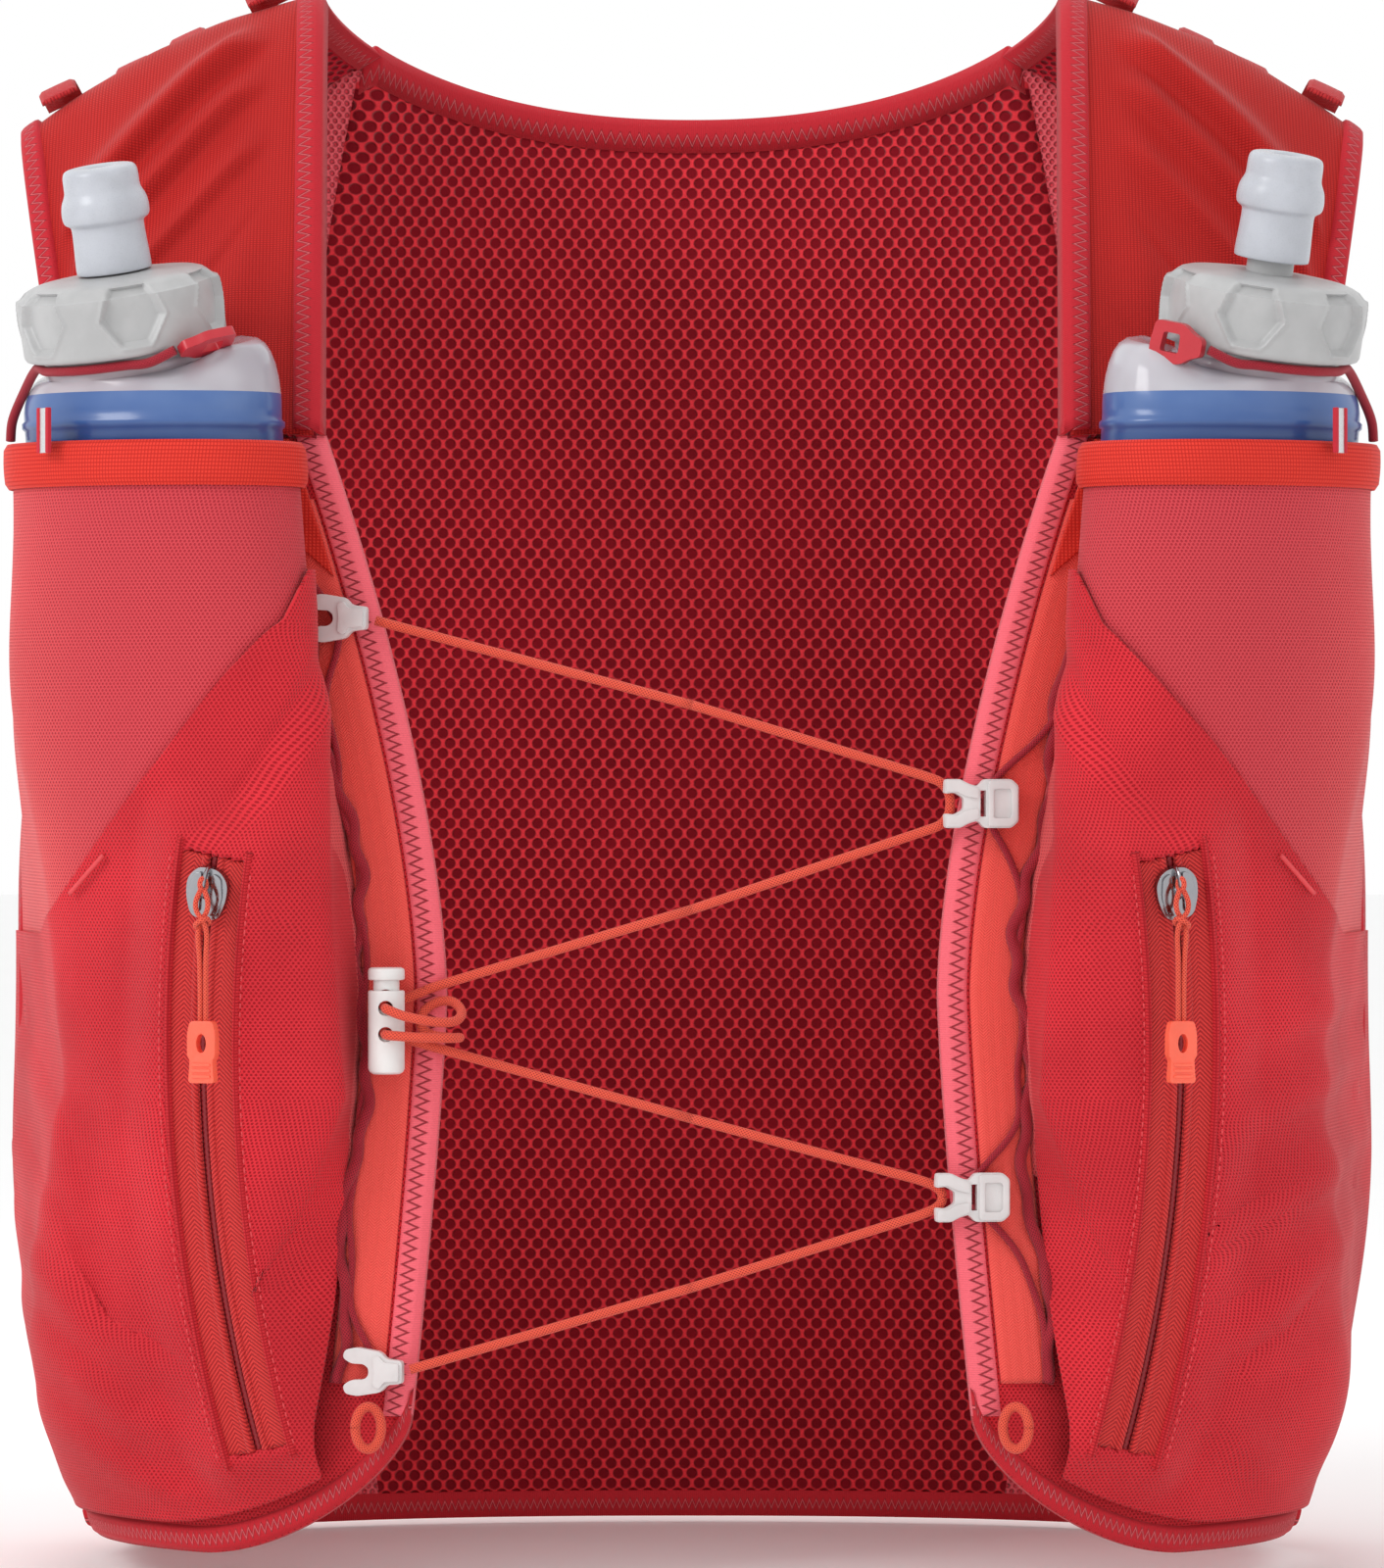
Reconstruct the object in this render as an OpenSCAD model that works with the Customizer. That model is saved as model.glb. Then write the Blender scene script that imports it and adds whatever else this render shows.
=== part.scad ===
// Running hydration pack: a soft vest with two flasks, chest bungee and hooks.
// The vest is modelled with its front hem at height 0, then moved so that the
// origin lies between the shoulder rests. +X is the wearer's left, -Y the front.

/* [Vest] */
// Height of the shoulder top above the front hem
vest_h = 393; // [385:1:400]
// Half width of the vest at the hem
waist_a = 152; // [150:1:154]
// Half width of the vest at the armholes
chest_a = 171; // [169:1:172]
// Half depth of the vest at the chest
chest_b = 96; // [95:1:97]
// Thickness of one layer of fabric
cloth = 1; // [0.9:0.05:1.1]
// Width of the sewn edge bindings
binding_w = 7; // [6:0.5:7.5]
// Width of the webbing rails on the front edges
rail_w = 11; // [10:0.5:11.5]

/* [Pockets] */
// Height of the flask pockets' rims above the hem
rim_z = 275; // [273:1:276]
// Height of the elastic band on a flask pocket's rim
band_h = 11; // [9:0.5:13]
// Width of a zip with both tapes
zip_w = 17; // [16:0.5:18]
// Radius of the curve of a front zip
zip_r = 360; // [350:1:370]
// Angle that a front zip spans on that curve
zip_span = 24; // [22:1:24]

/* [Flasks] */
// Width of a filled flask
flask_w = 68; // [66:1:69]
// Depth of a filled flask at the pocket rim
flask_d = 48; // [44:1:49]
// Length of the flask body below the pocket rim
flask_len = 163; // [155:1:165]
// Diameter of the screw cap
cap_d = 51; // [49:0.5:52]
// Height of the screw cap
cap_h = 18.4; // [18:0.1:19]
// Diameter of the flask's threaded neck
neck_d = 42; // [41:0.5:43]
// Distance that the bite valve is pulled out to open it
valve_travel = 4; // [3:0.5:5]

/* [Chest closure] */
// Diameter of the chest bungee
bungee_d = 2.4; // [2.2:0.1:2.6]
// Length of a chest hook
hook_l = 18.5; // [18:0.5:19]
// Height of a chest hook
hook_h = 12; // [11:0.5:12.5]
// Outer diameter of the cord lock
lock_d = 9; // [8.6:0.1:9.4]
// Height of the cord lock's barrel
lock_h = 20.5; // [20:0.5:21]

/* [Hidden] */
$fn = 40;

// ---------- heights, angles and layers ----------
squareness = 2.3;        // exponent of the torso's rounded section
flare_h = 100;           // height over which the waist widens to the chest
strap_z = 278;           // where the front panel becomes the shoulder strap
arm_z = 120;             // height of the armhole's lowest point
arm_front = 26;          // torso angle of the armhole's front edge
arm_back = -34;          // torso angle of its back edge
hem_corner_w = 58;       // width and height of the front hem's rounded corner
hem_corner_h = 36;
hem_corner_x = 127;
back_hem_z = -6;         // the back hangs slightly lower than the front
neck_x = 94;             // half width of the neck opening at the shoulders
neck_y = 91;             // depth of the neck opening behind the shoulders
neck_drop = 24;          // how far the neckline falls to the centre back
gap = 0.3;               // clearance between layers that only touch

function clamp01(v) = min(1, max(0, v));
function smooth(v) = let (c = clamp01(v)) c * c * (3 - 2 * c);
function mix(a, b, v) = a + (b - a) * v;
function unit(v) = v / norm(v);
function quarter(v) = sqrt(1 - pow(1 - clamp01(v), 2));

// ---------- torso ----------
// Angle 90 is the centre front, 0 the wearer's left side and -90 the centre back.
function torso_a(z) = mix(waist_a, chest_a, sin(90 * clamp01(z / flare_h)));
function torso_b(z, angle) = angle > 0
    ? chest_b - 8 * pow(clamp01((z - 200) / 78), 2)
    : chest_b;
function torso(angle, z, off) = [
    (torso_a(z) + off) * pow(abs(cos(angle)), 2 / squareness),
    -sign(angle) * (torso_b(z, angle) + off) * pow(abs(sin(angle)), 2 / squareness), z];
function torso_angle(x, z) = acos(min(1, pow(x / torso_a(z), squareness / 2)));

// ---------- front edge and hem ----------
function edge_x(z) = z > 140
    ? 60.5 + 30.5 * pow((z - 140) / 138, 1.6)
    : 60.5 + 8.5 * pow((140 - max(z, hem_corner_h)) / 104, 1.3);
function hem_z(x) = let (k = clamp01((hem_corner_x - x) / hem_corner_w))
    hem_corner_h * (1 - pow(1 - pow(k, 1.6), 1 / 1.6));
function side_angle(z) = arm_front * smooth((z - arm_z) / 150);
function inner_angle(z, inset) = torso_angle(edge_x(z) + inset, z);

// A point of the front panel, u from the centre edge to the side, at height z
function front(u, z, off, inset = 0) =
    torso(mix(inner_angle(z, inset), side_angle(z), u), z, off);
function front_x(u, inset) = front(u, hem_corner_h, 0, inset)[0];
function front_v(u, v, off, inset, top) =
    front(u, mix(hem_z(front_x(u, inset)), top, v), off, inset);

// ---------- shoulder strap ----------
// s runs from -1 at the front panel over the shoulder top at 0 to 1 at the back seam
strap_back = 30;
function neckline(a) = let (y = neck_y * pow(sin(a), 2 / 2.2))
    [neck_x * pow(cos(a), 2 / 2.2), y, vest_h - neck_drop * pow(y / neck_y, 1.6)];
function strap_inner(s) = s < 0
    ? [mix(neck_x, 91, -s), mix(0, -80, -s), strap_z + (vest_h - strap_z) * cos(90 * s)]
    : neckline(strap_back * s);
function strap_outer(s) = s < 0
    ? [158 + 14 * cos(90 * s), 2 + 44 * s, strap_z + (vest_h - 37 - strap_z) * cos(90 * s)]
    : [172 - 10 * s * s, 2 + 48 * s, vest_h - 37 - 36 * (1 - cos(90 * s))];
function strap(s, w, off) =
    let (p = mix(strap_inner(s), strap_outer(s), w),
         along = mix(strap_inner(s + 0.01), strap_outer(s + 0.01), w)
               - mix(strap_inner(s - 0.01), strap_outer(s - 0.01), w),
         across = strap_outer(s) - strap_inner(s),
         up = unit(cross(across, along)))
    p + up * (off + 5 * sin(180 * w));

// ---------- back ----------
// u runs from the centre back to the armhole or side seam, v from hem to top edge
function back_top(u) = u < 0.6
    ? neckline(90 - (90 - strap_back) * u / 0.6)
    : strap(0.999, (u - 0.6) / 0.4, 0);
function back_edge(z) = arm_back * quarter((z - arm_z) / 90);
function back(u, v, off) =
    let (top = back_top(u),
         z = mix(back_hem_z, top[2], v),
         low = torso(mix(-90, min(-0.02, back_edge(z)), u), z, off),
         w = pow(clamp01((z - 260) / (top[2] - 260)), 1.5),
         lean = unit([top[0] / 4, top[1], 60]))
    [mix(low[0], top[0] + off * lean[0], w), mix(low[1], top[1] + off * lean[1], w),
     z + off * w * lean[2]];
// share of the back's width that the spacer mesh covers, narrow at the waist
function mesh_share(v) = mix(0.34, 0.62, smooth(v / 0.9));

// ---------- flask and its pocket ----------
flask_pos = [132, -95, rim_z];   // centre of the flask's body at the pocket rim
flask_lean = [2, 4, 0];          // forward and outward lean of the body
flask_turn = 27;                 // turn of the body's flat side onto the chest
neck_pos = [138.5, -97, rim_z + 22];
neck_lean = [10, 8, 0];
function flask_q(s) = mix(9, flask_d / 2, smooth((s + flask_len) / 182));
function flask_p(s) = flask_w / 2 + smooth(-s / 60);
function ellipse_at(c, p, q, a) =
    [c[0] + p * cos(a) * cos(flask_turn) - q * sin(a) * sin(flask_turn),
     c[1] + p * cos(a) * sin(flask_turn) + q * sin(a) * cos(flask_turn), c[2]];
// Tangent angle from a point onto an ellipse, on the side given by turn
function tangent(point, c, p, q, turn) =
    let (d = point - c,
         l = [(d[0] * cos(flask_turn) + d[1] * sin(flask_turn)) / p,
              (d[1] * cos(flask_turn) - d[0] * sin(flask_turn)) / q])
    atan2(l[1], l[0]) + turn * acos(1 / max(1.001, norm(l)));
function flask_centre(z) = let (s = z - rim_z)
    [flask_pos[0] + s * tan(flask_lean[1]), flask_pos[1] - s * tan(flask_lean[0]), z];
seam_inset = binding_w + rail_w + 1.5;
// Pocket fabric, taut from the rail around the flask to the side; off counts layers
function drape(u, z, off) =
    let (s = z - rim_z,
         from = front(0, z, off, seam_inset),
         to = front(1, z, off, seam_inset),
         c = flask_centre(z),
         p = flask_p(s) + 1.2 + off,
         q = flask_q(s) + 1.2 + off,
         a1 = tangent(from, c, p, q, 1),
         a2 = tangent(to, c, p, q, -1),
         end = a2 < a1 ? a2 + 360 : a2,
         hugged = u < 0.25 ? mix(from, ellipse_at(c, p, q, a1), u / 0.25)
                : u > 0.8 ? mix(ellipse_at(c, p, q, end), to, (u - 0.8) / 0.2)
                : ellipse_at(c, p, q, mix(a1, end, (u - 0.25) / 0.55)),
         flat = front(u, z, off + 14 * smooth(z / 45) * sin(180 * u), seam_inset))
    mix(flat, hugged, clamp01((z - 5) / 110));

// ---------- closed sheet between two offsets of a skin ----------
module sheet(skin, nu, nv, low, high) {
    n = (nu + 1) * (nv + 1);
    points = [for (off = [low, high]) for (i = [0:nu]) for (j = [0:nv])
        skin(i / nu, j / nv, off)];
    function at(i, j, k) = k * n + i * (nv + 1) + j;
    function quad(a, b, c, d) = [[a, b, c], [a, c, d]];
    faces = [
        for (i = [0:nu - 1]) for (j = [0:nv - 1]) each concat(
            quad(at(i, j, 1), at(i, j + 1, 1), at(i + 1, j + 1, 1), at(i + 1, j, 1)),
            quad(at(i, j, 0), at(i + 1, j, 0), at(i + 1, j + 1, 0), at(i, j + 1, 0))),
        for (i = [0:nu - 1]) each concat(
            quad(at(i, 0, 0), at(i, 0, 1), at(i + 1, 0, 1), at(i + 1, 0, 0)),
            quad(at(i + 1, nv, 0), at(i + 1, nv, 1), at(i, nv, 1), at(i, nv, 0))),
        for (j = [0:nv - 1]) each concat(
            quad(at(0, j + 1, 0), at(0, j + 1, 1), at(0, j, 1), at(0, j, 0)),
            quad(at(nu, j, 0), at(nu, j, 1), at(nu, j + 1, 1), at(nu, j + 1, 0)))];
    polyhedron(points, faces);
}

// ---------- shared modules ----------
rest_drop = 5;    // the body's shoulder lies this far below the strap's crown
module in_frame() { translate([0, 0, rest_drop - vest_h]) children(); }
module other_side() { mirror([1, 0, 0]) children(); }
module both_sides() { children(); other_side() children(); }

// Strip of a ring in the XZ plane, bowed towards +X, with its middle at the origin
module arc_strip(radius, span, width, depth, shift = 0)
    translate([-radius, 0, 0]) rotate([90, 0, 0]) rotate([0, 0, -span / 2])
        rotate_extrude(angle = span)
            translate([radius + shift - width / 2, 0]) square([width, depth]);

module rounded_plate(w, h, depth, r)
    rotate([90, 0, 0]) linear_extrude(depth) union() {
        square([w - 2 * r, h], center = true);
        square([w, h - 2 * r], center = true);
        for (x = [-1, 1]) for (y = [-1, 1])
            translate([x * (w / 2 - r), y * (h / 2 - r)]) circle(r);
    }

// Tube swept through the points of a route
module tube(route, d, sides = 8) {
    last = len(route) - 1;
    rings = [for (i = [0:last])
        let (ahead = route[min(last, i + 1)], behind = route[max(0, i - 1)],
             along = unit(ahead - behind),
             side = unit(cross(along, abs(along[1]) > 0.9 ? [1, 0, 0] : [0, 1, 0])),
             up = cross(side, along))
        [for (k = [0:sides - 1]) let (a = 360 * k / sides)
            route[i] + (side * cos(a) + up * sin(a)) * d / 2]];
    points = [for (ring = rings) each ring];
    faces = concat(
        [[for (k = [0:sides - 1]) k]],
        [[for (k = [sides - 1:-1:0]) last * sides + k]],
        [for (i = [0:last - 1]) for (k = [0:sides - 1])
            let (a = i * sides + k, b = i * sides + (k + 1) % sides)
            each [[a, a + sides, b + sides], [a, b + sides, b]]]);
    polyhedron(points, faces);
}

// ---------- fabric of the vest ----------
crimson = "#b3122b";
coral = "#f4452b";
pink = "#d83a50";
maroon = "#8f1226";

module front_panel() color(crimson) in_frame()
    sheet(function(u, v, off) front_v(pow(u, 1.4), v, off, 1, strap_z), 14, 12, 0, cloth);

module side_panel() color(maroon) in_frame()
    sheet(function(u, v, off) back(mix(1, mesh_share(v) + 0.01, u), v * 0.994, off),
        10, 12, 0, cloth);

mesh_t = 3.5;
function back_wide(u, v, off) = let (p = back(abs(u), v, off)) [sign(u) * p[0], p[1], p[2]];
module back_mesh_panel() color(maroon) in_frame()
    sheet(function(u, v, off) back_wide(mix(1, -1, u) * mesh_share(v), mix(0.01, 0.985, v), off),
        16, 14, 0, mesh_t);

// The outer back bulges away from the mesh and leaves a space for a reservoir
bulge = 7;
function shell_off(u, v) = mesh_t + gap + 0.5
    + bulge * smooth((1 - abs(u)) / 0.5) * smooth(v / 0.15) * smooth((1 - v) / 0.3);
function shell(u, v, off) = back_wide(u, v, off + shell_off(u, v));
module back_shell() color(coral) in_frame()
    sheet(function(u, v, off) shell(mix(0.91, -0.91, u), mix(0.01, 0.992, v), off), 18, 14, 0, cloth);

pocket_v = 0.46;   // height of the back stretch pocket's mouth, as a share of the back
module back_stretch_pocket() color(crimson) in_frame()
    sheet(function(u, v, off) shell(mix(0.8, -0.8, u), mix(0.02, pocket_v, v), off),
        16, 8, cloth + gap, 2 * cloth + gap);
module back_pocket_band() color(coral) in_frame()
    sheet(function(u, v, off) shell(mix(0.8, -0.8, u), mix(pocket_v - 0.03, pocket_v, v), off),
        16, 1, 2 * cloth + 2 * gap, 3 * cloth + 2 * gap);

yoke_off = 2.2;    // the yoke lies over the lining and its thin foam
module shoulder_yoke() color(coral) in_frame()
    sheet(function(u, v, off) strap(mix(0.99, -0.99, u), mix(0.02, 0.98, v), off),
        12, 8, yoke_off, yoke_off + cloth);
module shoulder_linings() color(maroon) in_frame() both_sides()
    sheet(function(u, v, off) strap(mix(0.99, -0.99, u), mix(0.02, 0.98, v), off),
        12, 8, 0, yoke_off - gap);

// ---------- sewn bindings ----------
bind_low = -0.8;
bind_high = 1.8;
module front_binding() color(pink) in_frame()
    sheet(function(u, v, off) front(0, mix(hem_corner_h, strap_z, v), off, binding_w * u),
        1, 18, bind_low, bind_high);
module hem_binding() color(pink) in_frame() {
    both_sides() sheet(function(u, v, off)
        let (k = pow(u, 1.4), x = front_x(k, 0)) front(k, hem_z(x) + binding_w * v, off),
        16, 1, bind_low, bind_high);
    sheet(function(u, v, off) back_wide(mix(0.99, -0.99, u), mix(0, 0.018, v), off),
        22, 1, bind_low, mesh_t + 0.5);
}
neck_w = 0.085;    // share of the strap's width that its binding takes
module neck_binding() color(pink) in_frame() {
    both_sides() sheet(function(u, v, off) strap(mix(1, -1, u), mix(0, neck_w, v), off),
        14, 1, bind_low, yoke_off + 1.6);
    sheet(function(u, v, off) back_wide(mix(0.59, -0.59, u), mix(0.982, 1, v), off),
        14, 1, bind_low, mesh_t + 1.5);
}
module armhole_binding() color(pink) in_frame() {
    sheet(function(u, v, off) front(mix(0.93, 1, u), mix(arm_z + 2, strap_z - 1, v), off),
        1, 10, bind_low, bind_high);
    sheet(function(u, v, off) strap(mix(0.98, -0.98, u), mix(1 - neck_w, 1, v), off),
        14, 1, bind_low, yoke_off + 1.6);
    sheet(function(u, v, off) back(mix(1, 0.93, u), mix(0.39, 0.985, v), off),
        1, 10, bind_low, bind_high);
}

// ---------- flask pockets, stash pockets and bands ----------
flask_layer = 1.2;
stash_layer = 3.2;
module flask_pocket() color("#d83448") in_frame()
    sheet(function(u, v, off) drape(1 - u, mix(95, rim_z, v), off), 16, 8,
        flask_layer, flask_layer + cloth);
module flask_band() color(coral) in_frame()
    sheet(function(u, v, off) drape(1 - u, mix(rim_z - band_h, rim_z, v), off), 16, 1,
        stash_layer - gap, stash_layer - gap + 0.9 * cloth);

// The stash pocket's mouth falls from the rail to the side
mouth_in = 242;    // height of its mouth at the rail
mouth_out = 157;   // and at the side
function mouth_z(u) = mix(mouth_in, mouth_out, smooth((u - 0.3) / 0.52));
module stash_pocket() color(crimson) in_frame()
    sheet(function(u, v, off) let (w = 1 - u, x = front(w, 0, 0, seam_inset)[0])
        drape(w, mix(hem_z(x) + binding_w + 1, mouth_z(w), v), off), 16, 14,
        stash_layer, stash_layer + cloth);

// ---------- front zips ----------
zip_pos = [118.5, -104, 101];
zip_lean = 12;     // forward lean of the zip's plane
zip_turn = 17;     // its turn around the chest
zip_slit = 1.8;
tape_t = 1;
module on_zip() in_frame() translate(zip_pos) rotate([zip_lean, 0, zip_turn]) children();
module zip_tape() color(crimson) on_zip() {
    tape_w = (zip_w - zip_slit) / 2;
    for (side = [-1, 1])
        arc_strip(zip_r, zip_span, tape_w, tape_t, side * (zip_slit + tape_w) / 2);
}
module zip_coils() color(maroon) both_sides()
    on_zip() arc_strip(zip_r, zip_span, zip_slit - 0.2, tape_t - 0.3);

slider_w = 10.5;
slider_h = 13;
slider_t = 2.1;
bail_r = 3;
bail_wire = 0.8;
slider_angle = 10.6;       // where the slider rests on the curve, near the top
bail_out = tape_t + gap + slider_t + bail_r;
// The slider's own frame: its back face rests just in front of the tape
module slider_body() {
    translate([0, -tape_t - gap, 0]) rounded_plate(slider_w, slider_h, slider_t, 2.5);
    translate([0, -tape_t - gap - slider_t, 3]) rotate([0, 0, 180])
        rotate_extrude(angle = 180) translate([bail_r, 0]) circle(bail_wire);
}
module at_slider() translate([-zip_r, 0, 0]) rotate([0, -slider_angle, 0])
    translate([zip_r, 0, 0]) children();
module zip_slider() color("#c8ccd0") on_zip() at_slider() slider_body();

pull_cord = 1.3;
pull_drop = 34;
tab_w = 7.2;
tab_h = 15;
tab_t = 3;
module pull_piece() {
    eye_r = bail_wire + 0.3 + pull_cord / 2;
    rotate([0, 90, 0]) rotate_extrude() translate([eye_r, 0]) circle(pull_cord / 2);
    for (x = [-0.7, 0.7]) translate([x, 0, -pull_drop]) cylinder(d = pull_cord, h = pull_drop - eye_r);
    translate([0, tab_t / 2, -pull_drop - tab_h / 2 + 1]) difference() {
        rounded_plate(tab_w, tab_h, tab_t, 1.8);
        translate([0, 1, 2.6]) rotate([90, 0, 0]) cylinder(d = 3.4, h = tab_t + 2);
    }
}
// The pull hangs straight down from the bail of the slider at rest
pull_x = zip_r * cos(slider_angle) - zip_r - 0.55;
pull_z = zip_r * sin(slider_angle) + 2.95;
module zip_pull() color(coral) on_zip() translate([pull_x, -bail_out, pull_z])
    rotate([-zip_lean, 0, 0]) pull_piece();

// ---------- back zip ----------
back_zip_r = 470;
back_zip_z = 262;
back_zip_y = chest_b + mesh_t + gap + 0.5 + bulge + cloth + 1.4;
module back_strip(width, depth, low)
    in_frame() translate([0, back_zip_y - back_zip_r, back_zip_z + low])
        rotate([0, 0, 90 - 8]) rotate_extrude(angle = 16)
            translate([back_zip_r, 0]) square([depth, width]);
module back_zip() {
    half = (zip_w - zip_slit) / 2;
    color(crimson) for (low = [-zip_w / 2, zip_slit / 2]) back_strip(half, tape_t, low);
    color(maroon) back_strip(zip_slit - 0.2, tape_t - 0.3, -zip_slit / 2 + 0.1);
}
module back_zip_slider() color("#c8ccd0") in_frame()
    translate([0, back_zip_y - back_zip_r, back_zip_z]) rotate([0, 0, -back_slider_angle])
        translate([0, back_zip_r, 0]) rotate([0, 0, 180]) {
            rotate([0, 90, 0]) slider_body();
            translate([3, -bail_out, 0]) pull_piece();
        }
back_slider_angle = 6;

// ---------- rails ----------
module rail_webbing() color(coral) in_frame()
    sheet(function(u, v, off) front(0, mix(44, 262, v), off, mix(binding_w + gap, binding_w + rail_w, u)),
        1, 16, cloth + gap, 2 * cloth + gap);
// The rail cord runs along the webbing's outer edge and each hook draws it inwards
rail_out = binding_w + rail_w - 4;
rail_top = 246;
hook_reach = 15;
function rail_inset(z, pulls) = let (near = [for (p = pulls) exp(-pow((z - p[0]) / hook_reach, 2)) * (rail_out - p[1])])
    rail_out - near[0] - near[1];
rail_low = 2 * cloth + gap + 0.3;
module rail_cord(pulls) sheet(function(u, v, off) let (z = mix(44, rail_top, v))
    front(0, z, off, rail_inset(z, pulls) + 1.7 * u), 1, 72, rail_low, rail_low + 1.7);
module rail_cords() color(maroon) in_frame() {
    rail_cord([[hook_up, hook_inset - 0.85], [hook_down, hook_inset - 0.85]]);
    other_side() rail_cord([[fork_up, fork_inset - 0.85], [fork_down, fork_inset - 0.85]]);
}

// ---------- chest hooks ----------
hook_off = 4.8;    // the hooks' plates stand this far off the chest
plate_t = 3.2;
hook_up = 186.8;
hook_down = 90.2;
fork_up = 232.4;
fork_down = 47.2;
hook_inset = 3.9;  // distance of the hooks' slots from the front edge
fork_inset = 9;
hook_scale = hook_l / 18.5;

// A hook with a thumb pad outside and a claw that faces the centre
claw = [[-9.2, -6], [-5.5, -6], [-3.2, -4.8], [-1, -4.2], [0.6, -6], [7.4, -6], [9.2, -4.4],
    [9.2, 4.4], [7.4, 6], [0.6, 6], [-1, 4.2], [-3.2, 4.8], [-5.5, 6], [-9.2, 6],
    [-9.4, 2.4], [-6.8, 2.7], [-4.6, 1.4], [-4.6, -1.4], [-6.8, -2.7], [-9.4, -2.4]];
// A hook with two prongs outside and the bungee's end in its inner block
fork = [[-7.5, -2.8], [-3.6, -3.2], [-2, -5], [4, -6], [7, -5.4], [7.6, -3.4], [5.4, -2], [2.2, -1.9],
    [1, -0.9], [1, 0.9], [2.2, 1.9], [5.4, 2], [7.6, 3.4], [7, 5.4], [4, 6], [-2, 5],
    [-3.6, 3.2], [-7.5, 2.8]];
jaw_t = 1.1;      // a jaw reaches down behind the rail cord
jaw_gap = 0.4;     // clearance over the webbing
module jaw(x, z_half) translate([x, -hook_off - 0.1, -z_half])
    cube([jaw_t, hook_off + 0.1 - rail_low + 0.3 - jaw_gap, 2 * z_half]);
module on_edge(z, inset) {
    p = front(0, z, 0, inset);
    q = front(0, z, 0, inset + 1);
    in_frame() translate(p) rotate([0, 0, atan2(q[1] - p[1], q[0] - p[0])]) children();
}
module hook_plate(outline) translate([0, -hook_off, 0]) rotate([90, 0, 0]) linear_extrude(plate_t)
    polygon([for (p = outline) [p[0] * hook_scale, p[1] * hook_h / 12]]);
module claw_hook(z) color("#b9bec2") on_edge(z, hook_inset) {
    difference() {
        hook_plate(claw);
        translate([-0.4, -hook_off - plate_t - 1, -3.4]) cube([1.6, plate_t + 2, 6.8]);
    }
    jaw(2.9, 2.4);
}
module fork_hook(z) color("#b9bec2") on_edge(z, fork_inset) {
    hook_plate(fork);
    jaw(-3, 2.5);
}

// ---------- chest bungee and cord lock ----------
lock_x = -74.8;
lock_y = -101.2;
lock_foot = 120.6;
hole_low = 130.4;
hole_high = 136.8;
hole_d = 3.7;
neck_pin_d = 6.5;      // the plunger inside the barrel
lock_gap = 2.4;        // how far the plunger can be pressed
// Route of the bungee: upper fork, upper claw, lock, lower claw, lower fork
bungee_upper = [[-77.8, -93.8, 231.8], [0, -94.5, 211], [57, -95, 193.6], [61, -95, 192],
    [63, -95.1, 189.4], [63.4, -95.1, 186.8], [63, -95.1, 184.2], [61, -95, 181.6], [57, -95, 180],
    [0, -95.1, 160.8], [-58, -95.2, 143.4], [-66, -95.3, 140.6], [-71, -95.4, 138.6],
    [-74, -95.9, 137.3], [-74.8, -97.6, 136.8], [-74.8, -106, 136.8]];
bungee_loop = [[-73.6, -108.4, 136.3], [-70, -109.4, 135], [-63, -108.6, 133.6], [-58, -105, 133.6],
    [-56.4, -100, 135.6], [-58.4, -96.4, 138], [-62, -94.9, 138.2], [-65.2, -94.9, 136.4],
    [-66.6, -94.9, 134], [-66.2, -95.4, 131.6], [-63.4, -96.8, 129.9], [-58.6, -99.6, 129.4],
    [-56.8, -103.4, 129.6], [-59.6, -107.4, 129.6], [-66, -109.2, 129.8], [-72.6, -108.8, 130.2]];
bungee_lower = [[-74.8, -106, 130.4], [-74.8, -97.6, 130.4], [-73.9, -95.8, 130], [-70.4, -95.3, 129],
    [-57, -95.1, 125.2], [0, -95.2, 109.4], [55, -95.3, 94.6], [59, -95.3, 93.2], [61, -95.4, 91.6],
    [61.5, -95.4, 90.2], [61, -95.4, 88.6], [59, -95.3, 87], [55, -95.3, 85.4], [0, -95.9, 68],
    [-69.2, -96.4, 47.9]];
module chest_bungee() color("#f0583f") in_frame()
    tube(concat(bungee_upper, bungee_loop, bungee_lower), bungee_d);

module at_lock() in_frame() translate([lock_x, lock_y, 0]) children();
module cross_hole(z, d) translate([0, 0, z]) rotate([90, 0, 0])
    cylinder(d = d, h = lock_d + 2, center = true);
bore_d = neck_pin_d + 0.2;
bore_foot = lock_foot + 1.5;
module cord_lock_barrel() color("#eef0ee") at_lock() difference() {
    translate([0, 0, lock_foot]) cylinder(d = lock_d, h = lock_h);
    translate([0, 0, bore_foot]) cylinder(d = bore_d, h = lock_h);
    cross_hole(hole_low, hole_d);
    cross_hole(hole_high, hole_d);
    translate([-0.5, -lock_d, hole_low]) cube([1, 2 * lock_d, hole_high - hole_low]);
}
plunger_foot = hole_low - 3;
window_low = hole_low - bungee_d / 2 - 0.1;
window_high = hole_high + bungee_d / 2 + lock_gap + 0.2;
head_foot = lock_foot + lock_h + lock_gap;
module cord_lock_plunger() color("#eef0ee") at_lock() {
    difference() {
        translate([0, 0, plunger_foot]) cylinder(d = neck_pin_d, h = head_foot - plunger_foot);
        translate([-hole_d / 2, -lock_d, window_low])
            cube([hole_d, 2 * lock_d, window_high - window_low]);
    }
    translate([0, 0, head_foot]) cylinder(d = lock_d, h = 3.1);
}
spring_turns = 4;
spring_wire = 0.7;
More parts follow.
